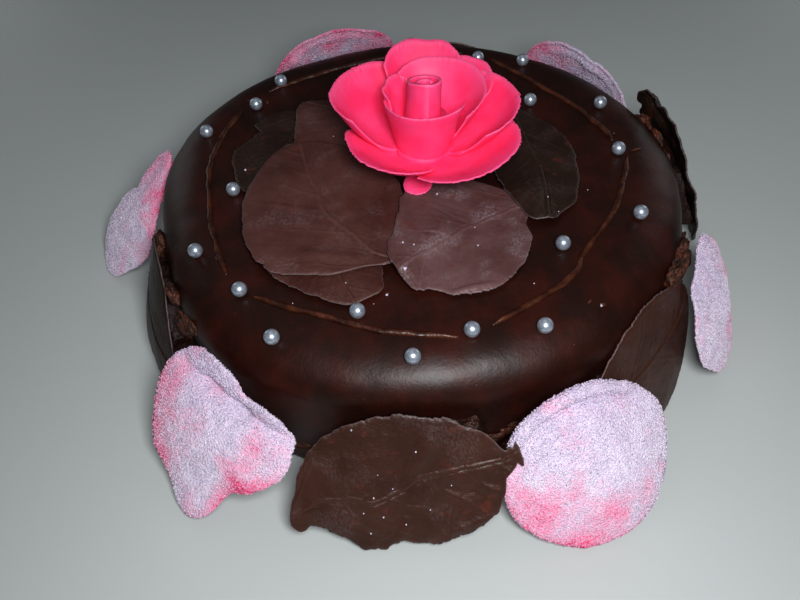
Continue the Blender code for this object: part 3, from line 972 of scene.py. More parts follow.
@dataclass(frozen=True)
class ChocolateLeaf:
    """A leaf cast in chocolate, from its stem end to its tip.

    Attributes:
        node: The solid that it stands for.
        stem: Where its stem end is.
        tip: Where its tip is.
        bow: How far its midrib bows to the left.
        left: Its width to the left of the midrib.
        right: Its width to the right.
        lean: How it leans on the side; a leaf without one lies on the top.
        left_edge: How far its left edge leaves its plain outline, as (share of its length, millimetres).
        right_edge: The same for its right edge.
        rib: How far its midrib leaves the middle of its outline.
        folds: Soft ridges on it, as (start share, start across, end share, end across, height, width).
        forward: 1 where its side veins run towards the tip, -1 where they run back.
        teeth: How far the teeth of its edge stand out.
        ragged: How uneven its edge is.
        relief: How strong its veins are.
        wavy: How far it waves up and down.
        tuck: How far the upper rim of a leaning leaf comes in to the cake.
    """

    node: str
    stem: tuple[float, float]
    tip: tuple[float, float]
    bow: float
    left: float
    right: float
    lean: Lean | None = None
    left_edge: tuple = ()
    right_edge: tuple = ()
    rib: tuple = ()
    folds: tuple = ()
    forward: int = 1
    teeth: float = 0.5
    ragged: float = 0.7
    relief: float = 1.0
    wavy: float = 0.45
    tuck: float = 0.0
    widest: float = 0.45
    fullness: float = 0.62
    thickness: float = 1.2
    thin_rim: float = 0.5
    pairs: int = 5
    side_wave: float = 1.3
    along: int = 150
    across: int = 100

    @property
    def length(self) -> float:
        """Length from stem to tip."""
        return (Vector(self.tip) - Vector(self.stem)).length

    def half_share(self, share: float) -> float:
        """The share of its full width that the leaf has at a share of its length."""
        skew = math.log(0.5) / math.log(self.widest)
        return math.sin(math.pi * share**skew) ** self.fullness if 0 < share < 1 else 0.0

    def edge(self, share: float, side: int) -> float:
        """How far the edge's own line, its teeth and its unevenness move it out, in millimetres.

        Args:
            share: Share of the leaf's length from its foot.
            side: 1 for the left edge and -1 for the right.

        Returns:
            The distance.
        """
        seed = len(self.node) * 7.3 + side * 31.7
        place = share * self.length
        size = 2.6 + 1.2 * noise.noise(Vector((place * 0.1, seed, 9.0)))
        tooth = (place / size + side * 0.4) % 1.0
        out = self.teeth * (tooth - 0.5) * (0.6 + noise.noise(Vector((place * 0.15, seed, 3.0))))
        out += self.ragged * noise.noise(Vector((place * 0.22, seed, 0.0)))
        out += 0.5 * self.ragged * noise.noise(Vector((place * 0.8, seed, 5.0)))
        chips = noise.noise(Vector((place * 0.45, seed, 12.0)))
        return out - 2.2 * self.ragged * max(chips - 0.38, 0.0)

    def width(self, share: float, side: int, edged: bool = True) -> float:
        """Width from the middle to an edge: side is 1 for the left and -1 for the right.

        Args:
            share: Share of the leaf's length from its foot.
            side: The edge.
            edged: Whether the edge's own line is added.

        Returns:
            The width in millimetres.
        """
        half = self.half_share(share)
        width = half * (self.left if side > 0 else self.right)
        if edged:
            table = self.left_edge if side > 0 else self.right_edge
            width += follow(table, share) + self.edge(share, side) * min(half * 2, 1.0)
        return max(width, 0.0)

    def flat(self, share: float, side: float, edged: bool) -> Vector:
        """A point of the leaf before it is laid or leant.

        Args:
            share: How far it is from the stem to the tip.
            side: From -1 at the right edge to 1 at the left.
            edged: Whether the edge has its teeth and bites.

        Returns:
            The point on the flat.
        """
        stem = Vector(self.stem)
        axis = Vector(self.tip) - stem
        left = Vector((-axis.y, axis.x)).normalized()
        bowed = self.bow * math.sin(math.pi * share)
        width = self.width(share, 1 if side > 0 else -1, edged)
        return stem + axis * share + left * (bowed + side * width)

    def vein(self, share: float, across: float) -> tuple[float, float]:
        """The veins at a point.

        Args:
            share: How far it is from the stem to the tip.
            across: Its distance from the middle in millimetres.

        Returns:
            How much vein there is, from 0 to 1, and how high the leaf stands there in millimetres.
        """
        run = share if self.forward > 0 else 1 - share
        seed = len(self.node) * 3.1
        wander = 0.5 * noise.noise(Vector((share * 6, seed, 1.0)))
        off = across - follow(self.rib, share) - wander
        away = abs(off)
        middle = bump_at(away, 0.0, 0.40 + 0.25 * (1 - run))
        groove = bump_at(off, 0.9, 0.5)
        side = 0.37 if off > 0 else 0.0
        slope = away / self.length
        bent = 1.15 * slope - 0.6 * slope * slope + 0.015 * noise.noise(Vector((off * 0.12, share * 4, seed)))
        phase = (run - bent) * (self.pairs + 1.5) + side
        nearest = abs(phase - round(phase)) / (self.pairs + 1.5) * self.length * 0.7
        strength = 0.55 + 0.6 * noise.noise(Vector((round(phase) * 3.7 + side * 9, away * 0.06, seed)))
        fade = max(1 - away / (0.9 * max(self.left, self.right)), 0.0)
        lateral = max(strength, 0.0) * bump_at(nearest, 0.0, 0.42) * fade**0.5
        swell = -math.cos(math.tau * phase) * min(away / 8, 1.0) * fade
        height = 0.34 * middle - 0.22 * groove + 0.30 * lateral + 0.12 * swell
        return min(middle + lateral, 1.0), height * self.relief

    def waves(self, share: float, across: float) -> float:
        """How high the leaf's waves and folds stand at a point.

        Args:
            share: Share of the leaf's length from its foot.
            across: Distance from the middle rib, in millimetres.

        Returns:
            The height in millimetres.
        """
        place = Vector((share * self.length, across, len(self.node) * 11.0))
        height = self.wavy * (1.6 * noise.noise(place * 0.045) + 0.5 * noise.noise(place * 0.16))
        height += 0.10 * noise.noise(place * 0.6)
        for start_share, start_across, end_share, end_across, rise, width in self.folds:
            start = Vector((start_share * self.length, start_across))
            run = Vector((end_share * self.length, end_across)) - start
            along = min(max((place.xy - start).dot(run) / run.length_squared, 0.0), 1.0)
            off = (place.xy - start - run * along).length
            height += rise * bump_at(off, 0.0, width) * (1 - abs(2 * along - 1) ** 3)
        return height

    def build(self, cake: Torte, solid: bpy.types.Object, finish: bpy.types.Material) -> bpy.types.Object:
        """Builds the leaf on the place of its solid.

        Args:
            cake: The cake that it lies on or leans against.
            solid: Its solid, as the frame has it.
            finish: Its material.

        Returns:
            The piece.
        """
        bm = sheet(self.along, self.across)
        layer(bm, "rim")
        layer(bm, "vein")
        uvs = bm.loops.layers.uv.new("UVMap")
        rim, vein = layer(bm, "rim"), layer(bm, "vein")
        places = {vert: (vert.co.x, vert.co.y) for vert in bm.verts}
        for face in bm.faces:
            for loop in face.loops:
                share, side = places[loop.vert]
                across = side * self.width(share, 1 if side > 0 else -1)
                loop[uvs].uv = (share, 0.5 + across / self.length)
        if self.lean:
            self._lean(bm, places, cake)
        else:
            self._lay(bm, places, solid)
        bm.normal_update()
        moved = {}
        for vert, (share, side) in places.items():
            width = self.width(share, 1 if side > 0 else -1)
            vert[vein], height = self.vein(share, side * width)
            inwards = min((1 - abs(side)) * width, share * self.length, (1 - share) * self.length)
            vert[rim] = max(0.0, 1 - max(inwards, 0.0) / 1.2)
            height = height * min(inwards / 2, 1.0) + self.waves(share, side * width)
            moved[vert] = vert.normal * height
        for vert, move in moved.items():
            vert.co += move
        bmesh.ops.remove_doubles(bm, verts=bm.verts, dist=0.02)
        piece = add_piece(f"cast_{self.node}", bm, finish, (self.node,))
        thicken(piece, self.thickness, self.thin_rim)
        return piece

    def _lean(self, bm: Mesh, places: dict, cake: Torte) -> None:
        """Bends the sheet to the form of a leaf that leans on the side.

        Args:
            bm: The sheet.
            places: Each point's place on the leaf.
            cake: The torte that it leans on.
        """
        for vert, (share, side) in places.items():
            vert.co = self.lean.point(cake.radius, self.flat(share, side, False), self._wave(share, side))
        before = box_middle(bm)
        set_on_solid(bm, self.node)
        shift = box_middle(bm) - before
        for vert, (share, side) in places.items():
            vert.co = self.leaning(cake, self.flat(share, side, True), self._wave(share, side), shift)

    def leaning(self, cake: Torte, flat: Vector, out: float, shift: Vector) -> Vector:
        """A point of a leaning leaf, its upper rim tucked in.

        Args:
            cake: The cake that it leans against.
            flat: The point on the flat.
            out: How far it stands off the slope.
            shift: What puts the leaf on its solid.

        Returns:
            The point in the cake's frame.
        """
        point = self.lean.point(cake.radius, flat, out) + shift
        rise = min(max(point.z / cake.height, 0.0), 1.0)
        return point - Vector((*(point.xy.normalized() * self.tuck * rise**2), 0.0))

    def _wave(self, share: float, side: float) -> float:
        """How far a leaning leaf waves off its slope.

        Args:
            share: Share of the leaf's length from its foot.
            side: Share of its width, from -1 to 1.

        Returns:
            The distance in millimetres.
        """
        a = 2 * share - 1
        b = side * math.sqrt(max(1 - a * a, 0.0))
        return self.side_wave * math.sin(2.4 * a + 0.6) * math.cos(2.2 * b)

    def _lay(self, bm: Mesh, places: dict, solid: bpy.types.Object) -> None:
        """Lays the sheet at its solid's height and evens it out.

        Args:
            bm: The sheet.
            places: Each point's place on the leaf.
            solid: The leaf's solid.
        """
        top = surface_of(solid)
        for vert, (share, side) in places.items():
            flat = self.flat(share, side, True)
            vert.co = (flat.x, flat.y, height_on(top, flat.x, flat.y) - self.thickness / 2)
        for _ in range(SMOOTHINGS):
            bmesh.ops.smooth_vert(
                bm, verts=bm.verts, factor=0.5, use_axis_x=False, use_axis_y=False, use_axis_z=True
            )
        bm.normal_update()
        if sum(face.normal.z for face in bm.faces) < 0:
            bmesh.ops.reverse_faces(bm, faces=bm.faces)
            bm.normal_update()


def surface_of(solid: bpy.types.Object) -> BVHTree:
    """A search tree over a merged copy of a solid's faces.

    Args:
        solid: The object.

    Returns:
        The tree.
    """
    bm = bmesh.new()
    bm.from_mesh(solid.data)
    bmesh.ops.remove_doubles(bm, verts=bm.verts, dist=0.00001)
    tree = BVHTree.FromBMesh(bm)
    bm.free()
    return tree


def height_on(top: BVHTree, x: float, y: float) -> float:
    """Height of a solid's upper face over a place, or that of the face's nearest point beside it.

    Args:
        top: The solid's search tree.
        x: The place, in millimetres.
        y: The same along Y.

    Returns:
        The height in millimetres.
    """
    over = Vector((x, y, OVERHEAD)) * MM
    hit = top.ray_cast(over, DOWN)[0]
    if hit is None:
        hit = top.find_nearest(Vector((x, y, LEAF_LEVEL)) * MM)[0]
    return hit.z / MM


@dataclass(frozen=True)
class Crease:
    """A fold across a petal, from one point to another on its flat, with its depth and width."""

    start: tuple[float, float]
    end: tuple[float, float]
    depth: float
    width: float

    def depth_at(self, flat: Vector) -> float:
        """How deep the fold is at a point of the petal.

        Args:
            flat: The point of the unit disc.

        Returns:
            The depth in millimetres.
        """
        start, end = Vector(self.start), Vector(self.end)
        run = end - start
        share = min(max((flat - start).dot(run) / run.length_squared, 0.0), 1.0)
        return self.depth * bump_at((flat - start - run * share).length, 0.0, self.width)


@dataclass(frozen=True)
class SugaredPetal:
    """A rose petal in sugar: reach is its edge's distance from its middle in twelve directions.

    Attributes:
        node: The solid that it stands for.
        middle: Its middle on its own slope.
        reach: How far its edge is from the middle.
        dome: How far its middle stands out.
        lean: How it leans on the cake.
        creases: Folds across it.
        trim: How far its own edge leaves reach, in the same twelve directions.
        lip: How high the rolled band along its upper edge stands.
        flushed: Directions from its middle, in degrees, where the pink shows most.
        seed: Which draw of crystals it gets.
    """

    node: str
    middle: tuple[float, float]
    reach: tuple[float, ...]
    dome: float
    lean: Lean
    creases: tuple[Crease, ...] = ()
    trim: tuple[float, ...] = (0.0,) * 12
    lip: float = 0.0
    flushed: tuple[float, ...] = (250.0,)
    seed: int = 1
    thickness: float = 1.3
    spokes: int = 120
    rings: int = 30
    crystals_per_mm2: float = 2.1
    crystal: float = 0.44

    @staticmethod
    def around(values: tuple[float, ...], a: float, b: float) -> float:
        """A value in a direction, going smoothly through those of evenly spaced directions.

        Args:
            values: The values, at even steps round the petal.
            a: The direction's first coordinate.
            b: Its second coordinate.

        Returns:
            The value.
        """
        count = len(values)
        turn = (math.atan2(b, a) % math.tau) / math.tau * count
        here = int(turn) % count
        t = turn - int(turn)
        p0, p1, p2, p3 = (values[(here + k) % count] for k in (-1, 0, 1, 2))
        bend = (2 * p0 - 5 * p1 + 4 * p2 - p3) * t**2
        twist = (3 * p1 - p0 - 3 * p2 + p3) * t**3
        return 0.5 * (2 * p1 + (p2 - p0) * t + bend + twist)

    def form(self, a: float, b: float, radius: float, detailed: bool) -> Vector:
        """A point of the petal.

        Args:
            a: The point's first place on the unit disc.
            b: Its second place.
            radius: The cake's radius.
            detailed: Whether it has its folds and its uneven edge.

        Returns:
            The point in the cake's frame, before it is set on its solid.
        """
        share = math.hypot(a, b)
        reach = self.around(self.reach, a, b)
        out = self.dome * (1 - share * share)
        if detailed:
            angle = math.atan2(b, a)
            wobble = noise.noise(Vector((math.cos(angle), math.sin(angle), self.seed)) * 2.2)
            reach += share**2 * self.around(self.trim, a, b)
            reach += share**3 * (0.9 * wobble + 0.45 * noise.noise(Vector((angle * 9, self.seed, 0.0))))
        flat = Vector(self.middle) + Vector((a, b)) * reach
        if detailed:
            out -= sum(crease.depth_at(flat) for crease in self.creases)
            upper = max(b / share, 0.0) if share else 0.0
            out += self.lip * upper * (bump_at(share, 0.93, 0.06) - 0.9 * bump_at(share, 0.80, 0.05))
            out += 0.9 * noise.fractal(Vector((flat.x, flat.y, self.seed * 9.0)) * 0.06, 0.9, 2.0, 3)
            out += 0.35 * noise.noise(Vector((flat.x, flat.y, self.seed * 5.0)) * 0.35)
        return self.lean.point(radius, flat, out)

    def bare(self, a: float, b: float) -> float:
        """How thin the sugar lies at a point of the unit disc, from 0 to 1.

        Args:
            a: The point's first coordinate.
            b: Its second coordinate.

        Returns:
            The share.
        """
        share = math.hypot(a, b)
        angle = math.degrees(math.atan2(b, a))
        near = max((1 - turn_between(angle, flush) / FLUSH_REACH for flush in self.flushed), default=0.0)
        patchy = noise.fractal(Vector((a * 2.6, b * 2.6, self.seed * 3.0)), 0.8, 2.0, 4)
        return min(max(0.85 * max(near, 0.0) ** 0.8 * share**1.2 + 0.4 * patchy, 0.0), 1.0)

    def build(
        self, cake: Torte, coat: bpy.types.Material, grains: bpy.types.Material
    ) -> list[bpy.types.Object]:
        """Builds the petal and the crystals on it.

        Args:
            cake: The cake that it leans against.
            coat: The material of the sugared petal.
            grains: The material of the loose crystals.

        Returns:
            The two pieces.
        """
        bm = disc(self.spokes, self.rings)
        layer(bm, "rim")
        bare, rim = layer(bm, "bare"), layer(bm, "rim")
        places = {vert: (vert.co.x, vert.co.y) for vert in bm.verts}
        for vert, (a, b) in places.items():
            vert.co = self.form(a, b, cake.radius, False)
        before = box_middle(bm)
        set_on_solid(bm, self.node)
        shift = box_middle(bm) - before
        for vert, (a, b) in places.items():
            vert.co = self.form(a, b, cake.radius, True) + shift
            vert.co.z = max(vert.co.z, self.thickness)
            vert[rim] = max(0.0, (math.hypot(a, b) - 0.93) / 0.07)
            vert[bare] = self.bare(a, b)
        bmesh.ops.recalc_face_normals(bm, faces=bm.faces)
        piece = add_piece(f"sugared_{self.node}", bm, coat, (self.node,))
        thicken(piece, self.thickness, 0.6)
        return [piece, self._crystals(piece, grains)]

    def _crystals(self, petal: bpy.types.Object, grains: bpy.types.Material) -> bpy.types.Object:
        """Strews crystals over the petal and makes them one mesh.

        Args:
            petal: The petal's object.
            grains: The crystals' material.

        Returns:
            The crystals.
        """
        obj = petal.copy()
        obj.data = petal.data.copy()
        obj.name = f"crystals_{self.node}"
        bpy.context.scene.collection.objects.link(obj)
        strew = obj.modifiers.new("crystals", "NODES")
        strew.node_group = crystal_tree(self.crystals_per_mm2, self.crystal, self.seed, grains)
        apply_modifiers(obj)
        obj.data.materials.clear()
        obj.data.materials.append(grains)
        for key in [key for key in obj.keys() if key.startswith("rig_")]:
            del obj[key]
        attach(obj, "root")
        return obj


def crystal_tree(
    density: float, size: float, seed: int, grains: bpy.types.Material
) -> bpy.types.GeometryNodeTree:
    """Geometry nodes that strew small eight-sided crystals over a mesh and realize them.

    Args:
        density: Crystals on a square millimetre.
        size: A crystal's radius in millimetres.
        seed: Which random draw it is.
        grains: The crystals' material.

    Returns:
        The node group.
    """
    tree = bpy.data.node_groups.new(f"crystals_{seed}", "GeometryNodeTree")
    tree.interface.new_socket("Geometry", in_out="INPUT", socket_type="NodeSocketGeometry")
    tree.interface.new_socket("Geometry", in_out="OUTPUT", socket_type="NodeSocketGeometry")

    def add(kind: str, settings: dict, sockets: dict) -> bpy.types.Node:
        """Adds a node with its settings and its sockets' values or links.

        Args:
            kind: The node's type.
            settings: Its own settings.
            sockets: Values or outputs by the input's name.

        Returns:
            The node.
        """
        made = tree.nodes.new(kind)
        for name, value in settings.items():
            setattr(made, name, value)
        for key, value in sockets.items():
            if isinstance(value, bpy.types.NodeSocket):
                tree.links.new(value, made.inputs[key])
            else:
                made.inputs[key].default_value = value
        return made

    petal = add("NodeGroupInput", {}, {})
    bare = add("GeometryNodeInputNamedAttribute", {"data_type": "FLOAT"}, {"Name": "bare"})
    thinner = add(
        "ShaderNodeMapRange",
        {},
        {"Value": bare.outputs[0], "To Min": density / MM**2, "To Max": BARE_SHARE * density / MM**2},
    )
    points = add(
        "GeometryNodeDistributePointsOnFaces",
        {"distribute_method": "RANDOM"},
        {"Mesh": petal.outputs[0], "Density": thinner.outputs[0], "Seed": seed},
    )
    shape = add("GeometryNodeMeshUVSphere", {}, {"Segments": 4, "Rings": 2, "Radius": size * MM})
    turn = add(
        "FunctionNodeRandomValue",
        {"data_type": "FLOAT_VECTOR"},
        {0: (0.0, 0.0, 0.0), 1: (math.tau, math.tau, math.tau), "Seed": seed + 1},
    )
    scale = add(
        "FunctionNodeRandomValue",
        {"data_type": "FLOAT_VECTOR"},
        {0: (0.55, 0.55, 0.55), 1: (1.25, 1.25, 1.25), "Seed": seed + 2},
    )
    placed = add(
        "GeometryNodeInstanceOnPoints",
        {},
        {
            "Points": points.outputs["Points"],
            "Instance": shape.outputs[0],
            "Rotation": turn.outputs[0],
            "Scale": scale.outputs[0],
        },
    )
    real = add("GeometryNodeRealizeInstances", {}, {"Geometry": placed.outputs[0]})
    dressed = add("GeometryNodeSetMaterial", {}, {"Geometry": real.outputs[0], "Material": grains})
    add("NodeGroupOutput", {}, {0: dressed.outputs[0]})
    return tree


@dataclass(frozen=True)
class RosePetal:
    """A petal of the rose, as a curved sheet round the rose's axis.

    Attributes:
        bearing: The middle of the petal.
        half_angle: How far it reaches to each side, in degrees.
        root: Distance from the axis and height over the stub, at its root.
        rim: The same at its rim.
        belly: How much it sags between root and rim.
        tuck: How far its first and its last corner are drawn in.
        curl: How far its rim rolls outwards.
        droop: How far its corners hang.
    """

    bearing: float
    half_angle: float
    root: tuple[float, float]
    rim: tuple[float, float]
    belly: float
    tuck: tuple[float, float]
    curl: float = 0.6
    droop: float = 0.0


@dataclass(frozen=True)
class Rose:
    """The sugar-paste rose: a rolled heart and petals round it, on a stub."""

    x: float = 3.3
    y: float = -3.3
    lean_x: float = 0.06
    lean_y: float = 0.14
    thickness: float = 1.7
    heart: tuple = ((6.0, 0.0), (8.0, 4.0), (12.0, 8.0), (10.0, 13.0), (9.0, 21.0))
    bud_radius: float = 8.3
    bud_height: float = 37.2
    bud_slant: float = 2.5
    bud_turns: float = 1.7
    bud_foot: float = 14.0
    corner_power: float = 2.5
    tilt: float = 0.9
    columns: int = 110
    rows: int = 32
    petals: tuple[RosePetal, ...] = (
        RosePetal(147, 46, (9, 8), (41, 28.5), 0.28, (0.30, 0.35)),
        RosePetal(220, 59, (9, 7), (33.5, 18.5), 0.26, (0.14, 0.62), 0.9, 5.0),
        RosePetal(316, 56, (9, 6.5), (40.5, 19.5), 0.22, (0.42, 0.30), 0.8, 2.0),
        RosePetal(258, 34, (4, 1.5), (21.5, 0.8), 0.0, (0.95, 0.95), 0.0),
        RosePetal(10, 46, (9, 8), (38, 27), 0.24, (0.35, 0.35)),
        RosePetal(55, 34, (9, 10), (37.5, 28), 0.20, (0.30, 0.30)),
        RosePetal(88, 35, (9, 10), (38.5, 33), 0.18, (0.30, 0.30)),
        RosePetal(48, 82, (9, 11), (25.5, 32.5), 0.10, (0.40, 0.40)),
        RosePetal(252, 80, (10.5, 9), (17.5, 31.5), -0.06, (0.10, 0.10), 0.2),
        RosePetal(152, 40, (9, 11), (17.5, 33), 0.05, (0.25, 0.25), 0.3),
    )

    def axis(self, height: float) -> Vector:
        """The rose's axis at a height over its stub's underside."""
        return Vector((self.x + self.lean_x * height, self.y + self.lean_y * height, height))

    def petal_point(self, petal: RosePetal, u: float, v: float) -> Vector:
        """A point of a petal.

        Args:
            petal: The petal.
            u: From -1 at its one side to 1 at its other.
            v: From 0 at its root to 1 at its rim.

        Returns:
            The point, over the stub's underside.
        """
        drawn_in = petal.tuck[0 if u < 0 else 1] * abs(u) ** self.corner_power
        bearing = math.radians(petal.bearing + petal.half_angle * u)
        spread = petal.rim[0] - petal.root[0]
        rise = petal.rim[1] - petal.root[1]
        wavy = noise.noise(Vector((petal.bearing, u * 2.3, v * 1.5)))
        nick = noise.noise(Vector((petal.bearing, u * 15.0, 3.0)))
        crumble = noise.noise(Vector((petal.bearing, u * 42.0, 7.0)))
        ragged = v**4 * 1.2 * wavy + v**22 * (0.7 * nick + 0.6 * crumble - 2.8 * max(nick - 0.34, 0.0))
        radius = petal.root[0] + spread * v * (1 - drawn_in) + ragged
        height = petal.root[1] + rise * (v - petal.belly * 4 * v * (1 - v)) * (1 - drawn_in / 2)
        height += self.tilt * u * v + 0.8 * wavy * v - petal.curl * v**8 - petal.droop * abs(u) ** 3 * v
        return self.axis(height) + Vector((radius * math.cos(bearing), radius * math.sin(bearing), 0.0))

    def build(self, finish: bpy.types.Material) -> list[bpy.types.Object]:
        """Builds the heart, the bud and the petals.

        Args:
            finish: The sugar paste.

        Returns:
            The pieces.
        """
        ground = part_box("rose")[0].z / MM
        bm = bmesh.new()
        rim = layer(bm, "rim")
        for petal in self.petals:
            self._add_petal(bm, rim, petal)
        bmesh.ops.translate(bm, vec=(0, 0, ground), verts=bm.verts)
        petals = add_piece("rose_petals", bm, finish, ("rose",))
        thicken(petals, self.thickness, 0.3)
        return [petals, self._heart(ground, finish), self._bud(ground, finish)]

    def _add_petal(self, bm: Mesh, rim: bmesh.types.BMLayerItem, petal: RosePetal) -> None:
        """Adds a petal's sheet.

        Args:
            bm: The mesh that it is added to.
            rim: Layer that says how near the rim a point is.
            petal: The petal.
        """
        made = bmesh.ops.create_grid(bm, x_segments=self.columns, y_segments=self.rows, size=1.0)["verts"]
        for vert in made:
            u, v = vert.co.x, (vert.co.y + 1) / 2
            edge = max(v, abs(u) * min(2 * v, 1.0))
            vert.co = self.petal_point(petal, u, v)
            vert[rim] = max(0.0, (edge - 0.84) / 0.16)

    def _heart(self, ground: float, finish: bpy.types.Material) -> bpy.types.Object:
        """The stub and the solid foot of the bud.

        Args:
            ground: Height that the rose stands on.
            finish: Its material.

        Returns:
            The piece.
        """
        bm = bmesh.new()
        route = through([Vector((r, 0.0, z)) for r, z in self.heart], 1.0)
        points = [Vector((0.0, 0.0, 0.0)), *route, Vector((0.0, 0.0, route[-1].z + 1))]
        verts = [bm.verts.new(point) for point in points]
        edges = [bm.edges.new(pair) for pair in zip(verts, verts[1:])]
        bmesh.ops.spin(
            bm, geom=verts + edges, cent=(0, 0, 0), axis=(0, 0, 1), dvec=(0, 0, 0),
            angle=math.tau, steps=48, use_merge=True, use_duplicate=False,
        )
        bmesh.ops.remove_doubles(bm, verts=bm.verts, dist=0.01)
        for vert in bm.verts:
            swell = 1 + 0.05 * noise.noise(vert.co * 0.25)
            axis = self.axis(vert.co.z)
            vert.co = Vector((vert.co.x * swell, vert.co.y * swell, 0.0)) + axis
        bmesh.ops.recalc_face_normals(bm, faces=bm.faces)
        bmesh.ops.translate(bm, vec=(0, 0, ground), verts=bm.verts)
        layer(bm, "rim")
        return add_piece("rose_heart", bm, finish)

    def _bud(self, ground: float, finish: bpy.types.Material) -> bpy.types.Object:
        """The bud: a strip of paste rolled up round the axis, open in its middle.

        Args:
            ground: Height that the rose stands on.
            finish: Its material.

        Returns:
            The piece.
        """
        bm = sheet(150, 26)
        rim = layer(bm, "rim")
        for vert in bm.verts:
            share, up = vert.co.x, (vert.co.y + 1) / 2
            angle = math.tau * self.bud_turns * share + 0.4
            height = self.bud_foot + (self.bud_height - self.bud_foot) * up
            height -= up**2 * (1.6 * (1 - share) + self.bud_slant * share * math.sin(angle))
            radius = (1.9 + (self.bud_radius - 2.7) * share) * (1.22 - 0.22 * up) + 0.45 * up**6
            vert.co = self.axis(height) + Vector((radius * math.cos(angle), radius * math.sin(angle), 0.0))
            vert[rim] = max(0.0, (max(up, share) - 0.94) / 0.06)
        bmesh.ops.translate(bm, vec=(0, 0, ground), verts=bm.verts)
        piece = add_piece("rose_bud", bm, finish)
        thicken(piece, 1.5, 0.7)
        return piece


@dataclass(frozen=True)
class GanacheFinish:
    """Broken ganache and crumb, rough and red-brown."""

    dark: Colour = (0.020, 0.0065, 0.0035)
    light: Colour = (0.170, 0.048, 0.020)

    def make(self) -> bpy.types.Material:
        """Builds the material.

        Returns:
            The material.
        """
        graph = Graph("broken_ganache")
        crumbs = graph.noise(1.4, 3.0, 0.7)
        clouds = graph.noise(7.0, 2.0)
        share = crumbs * 0.6 + clouds * 0.25 + graph.attribute("rim") * 0.16
        normal = graph.bump(crumbs, 0.9, 0.9)
        return graph.surface(
            Base_Color=graph.mix(self.dark, self.light, share.step(0.50, 0.74)),
            Roughness=0.58 - clouds.step(0.5, 0.7) * 0.25,
            Normal=normal,
        )


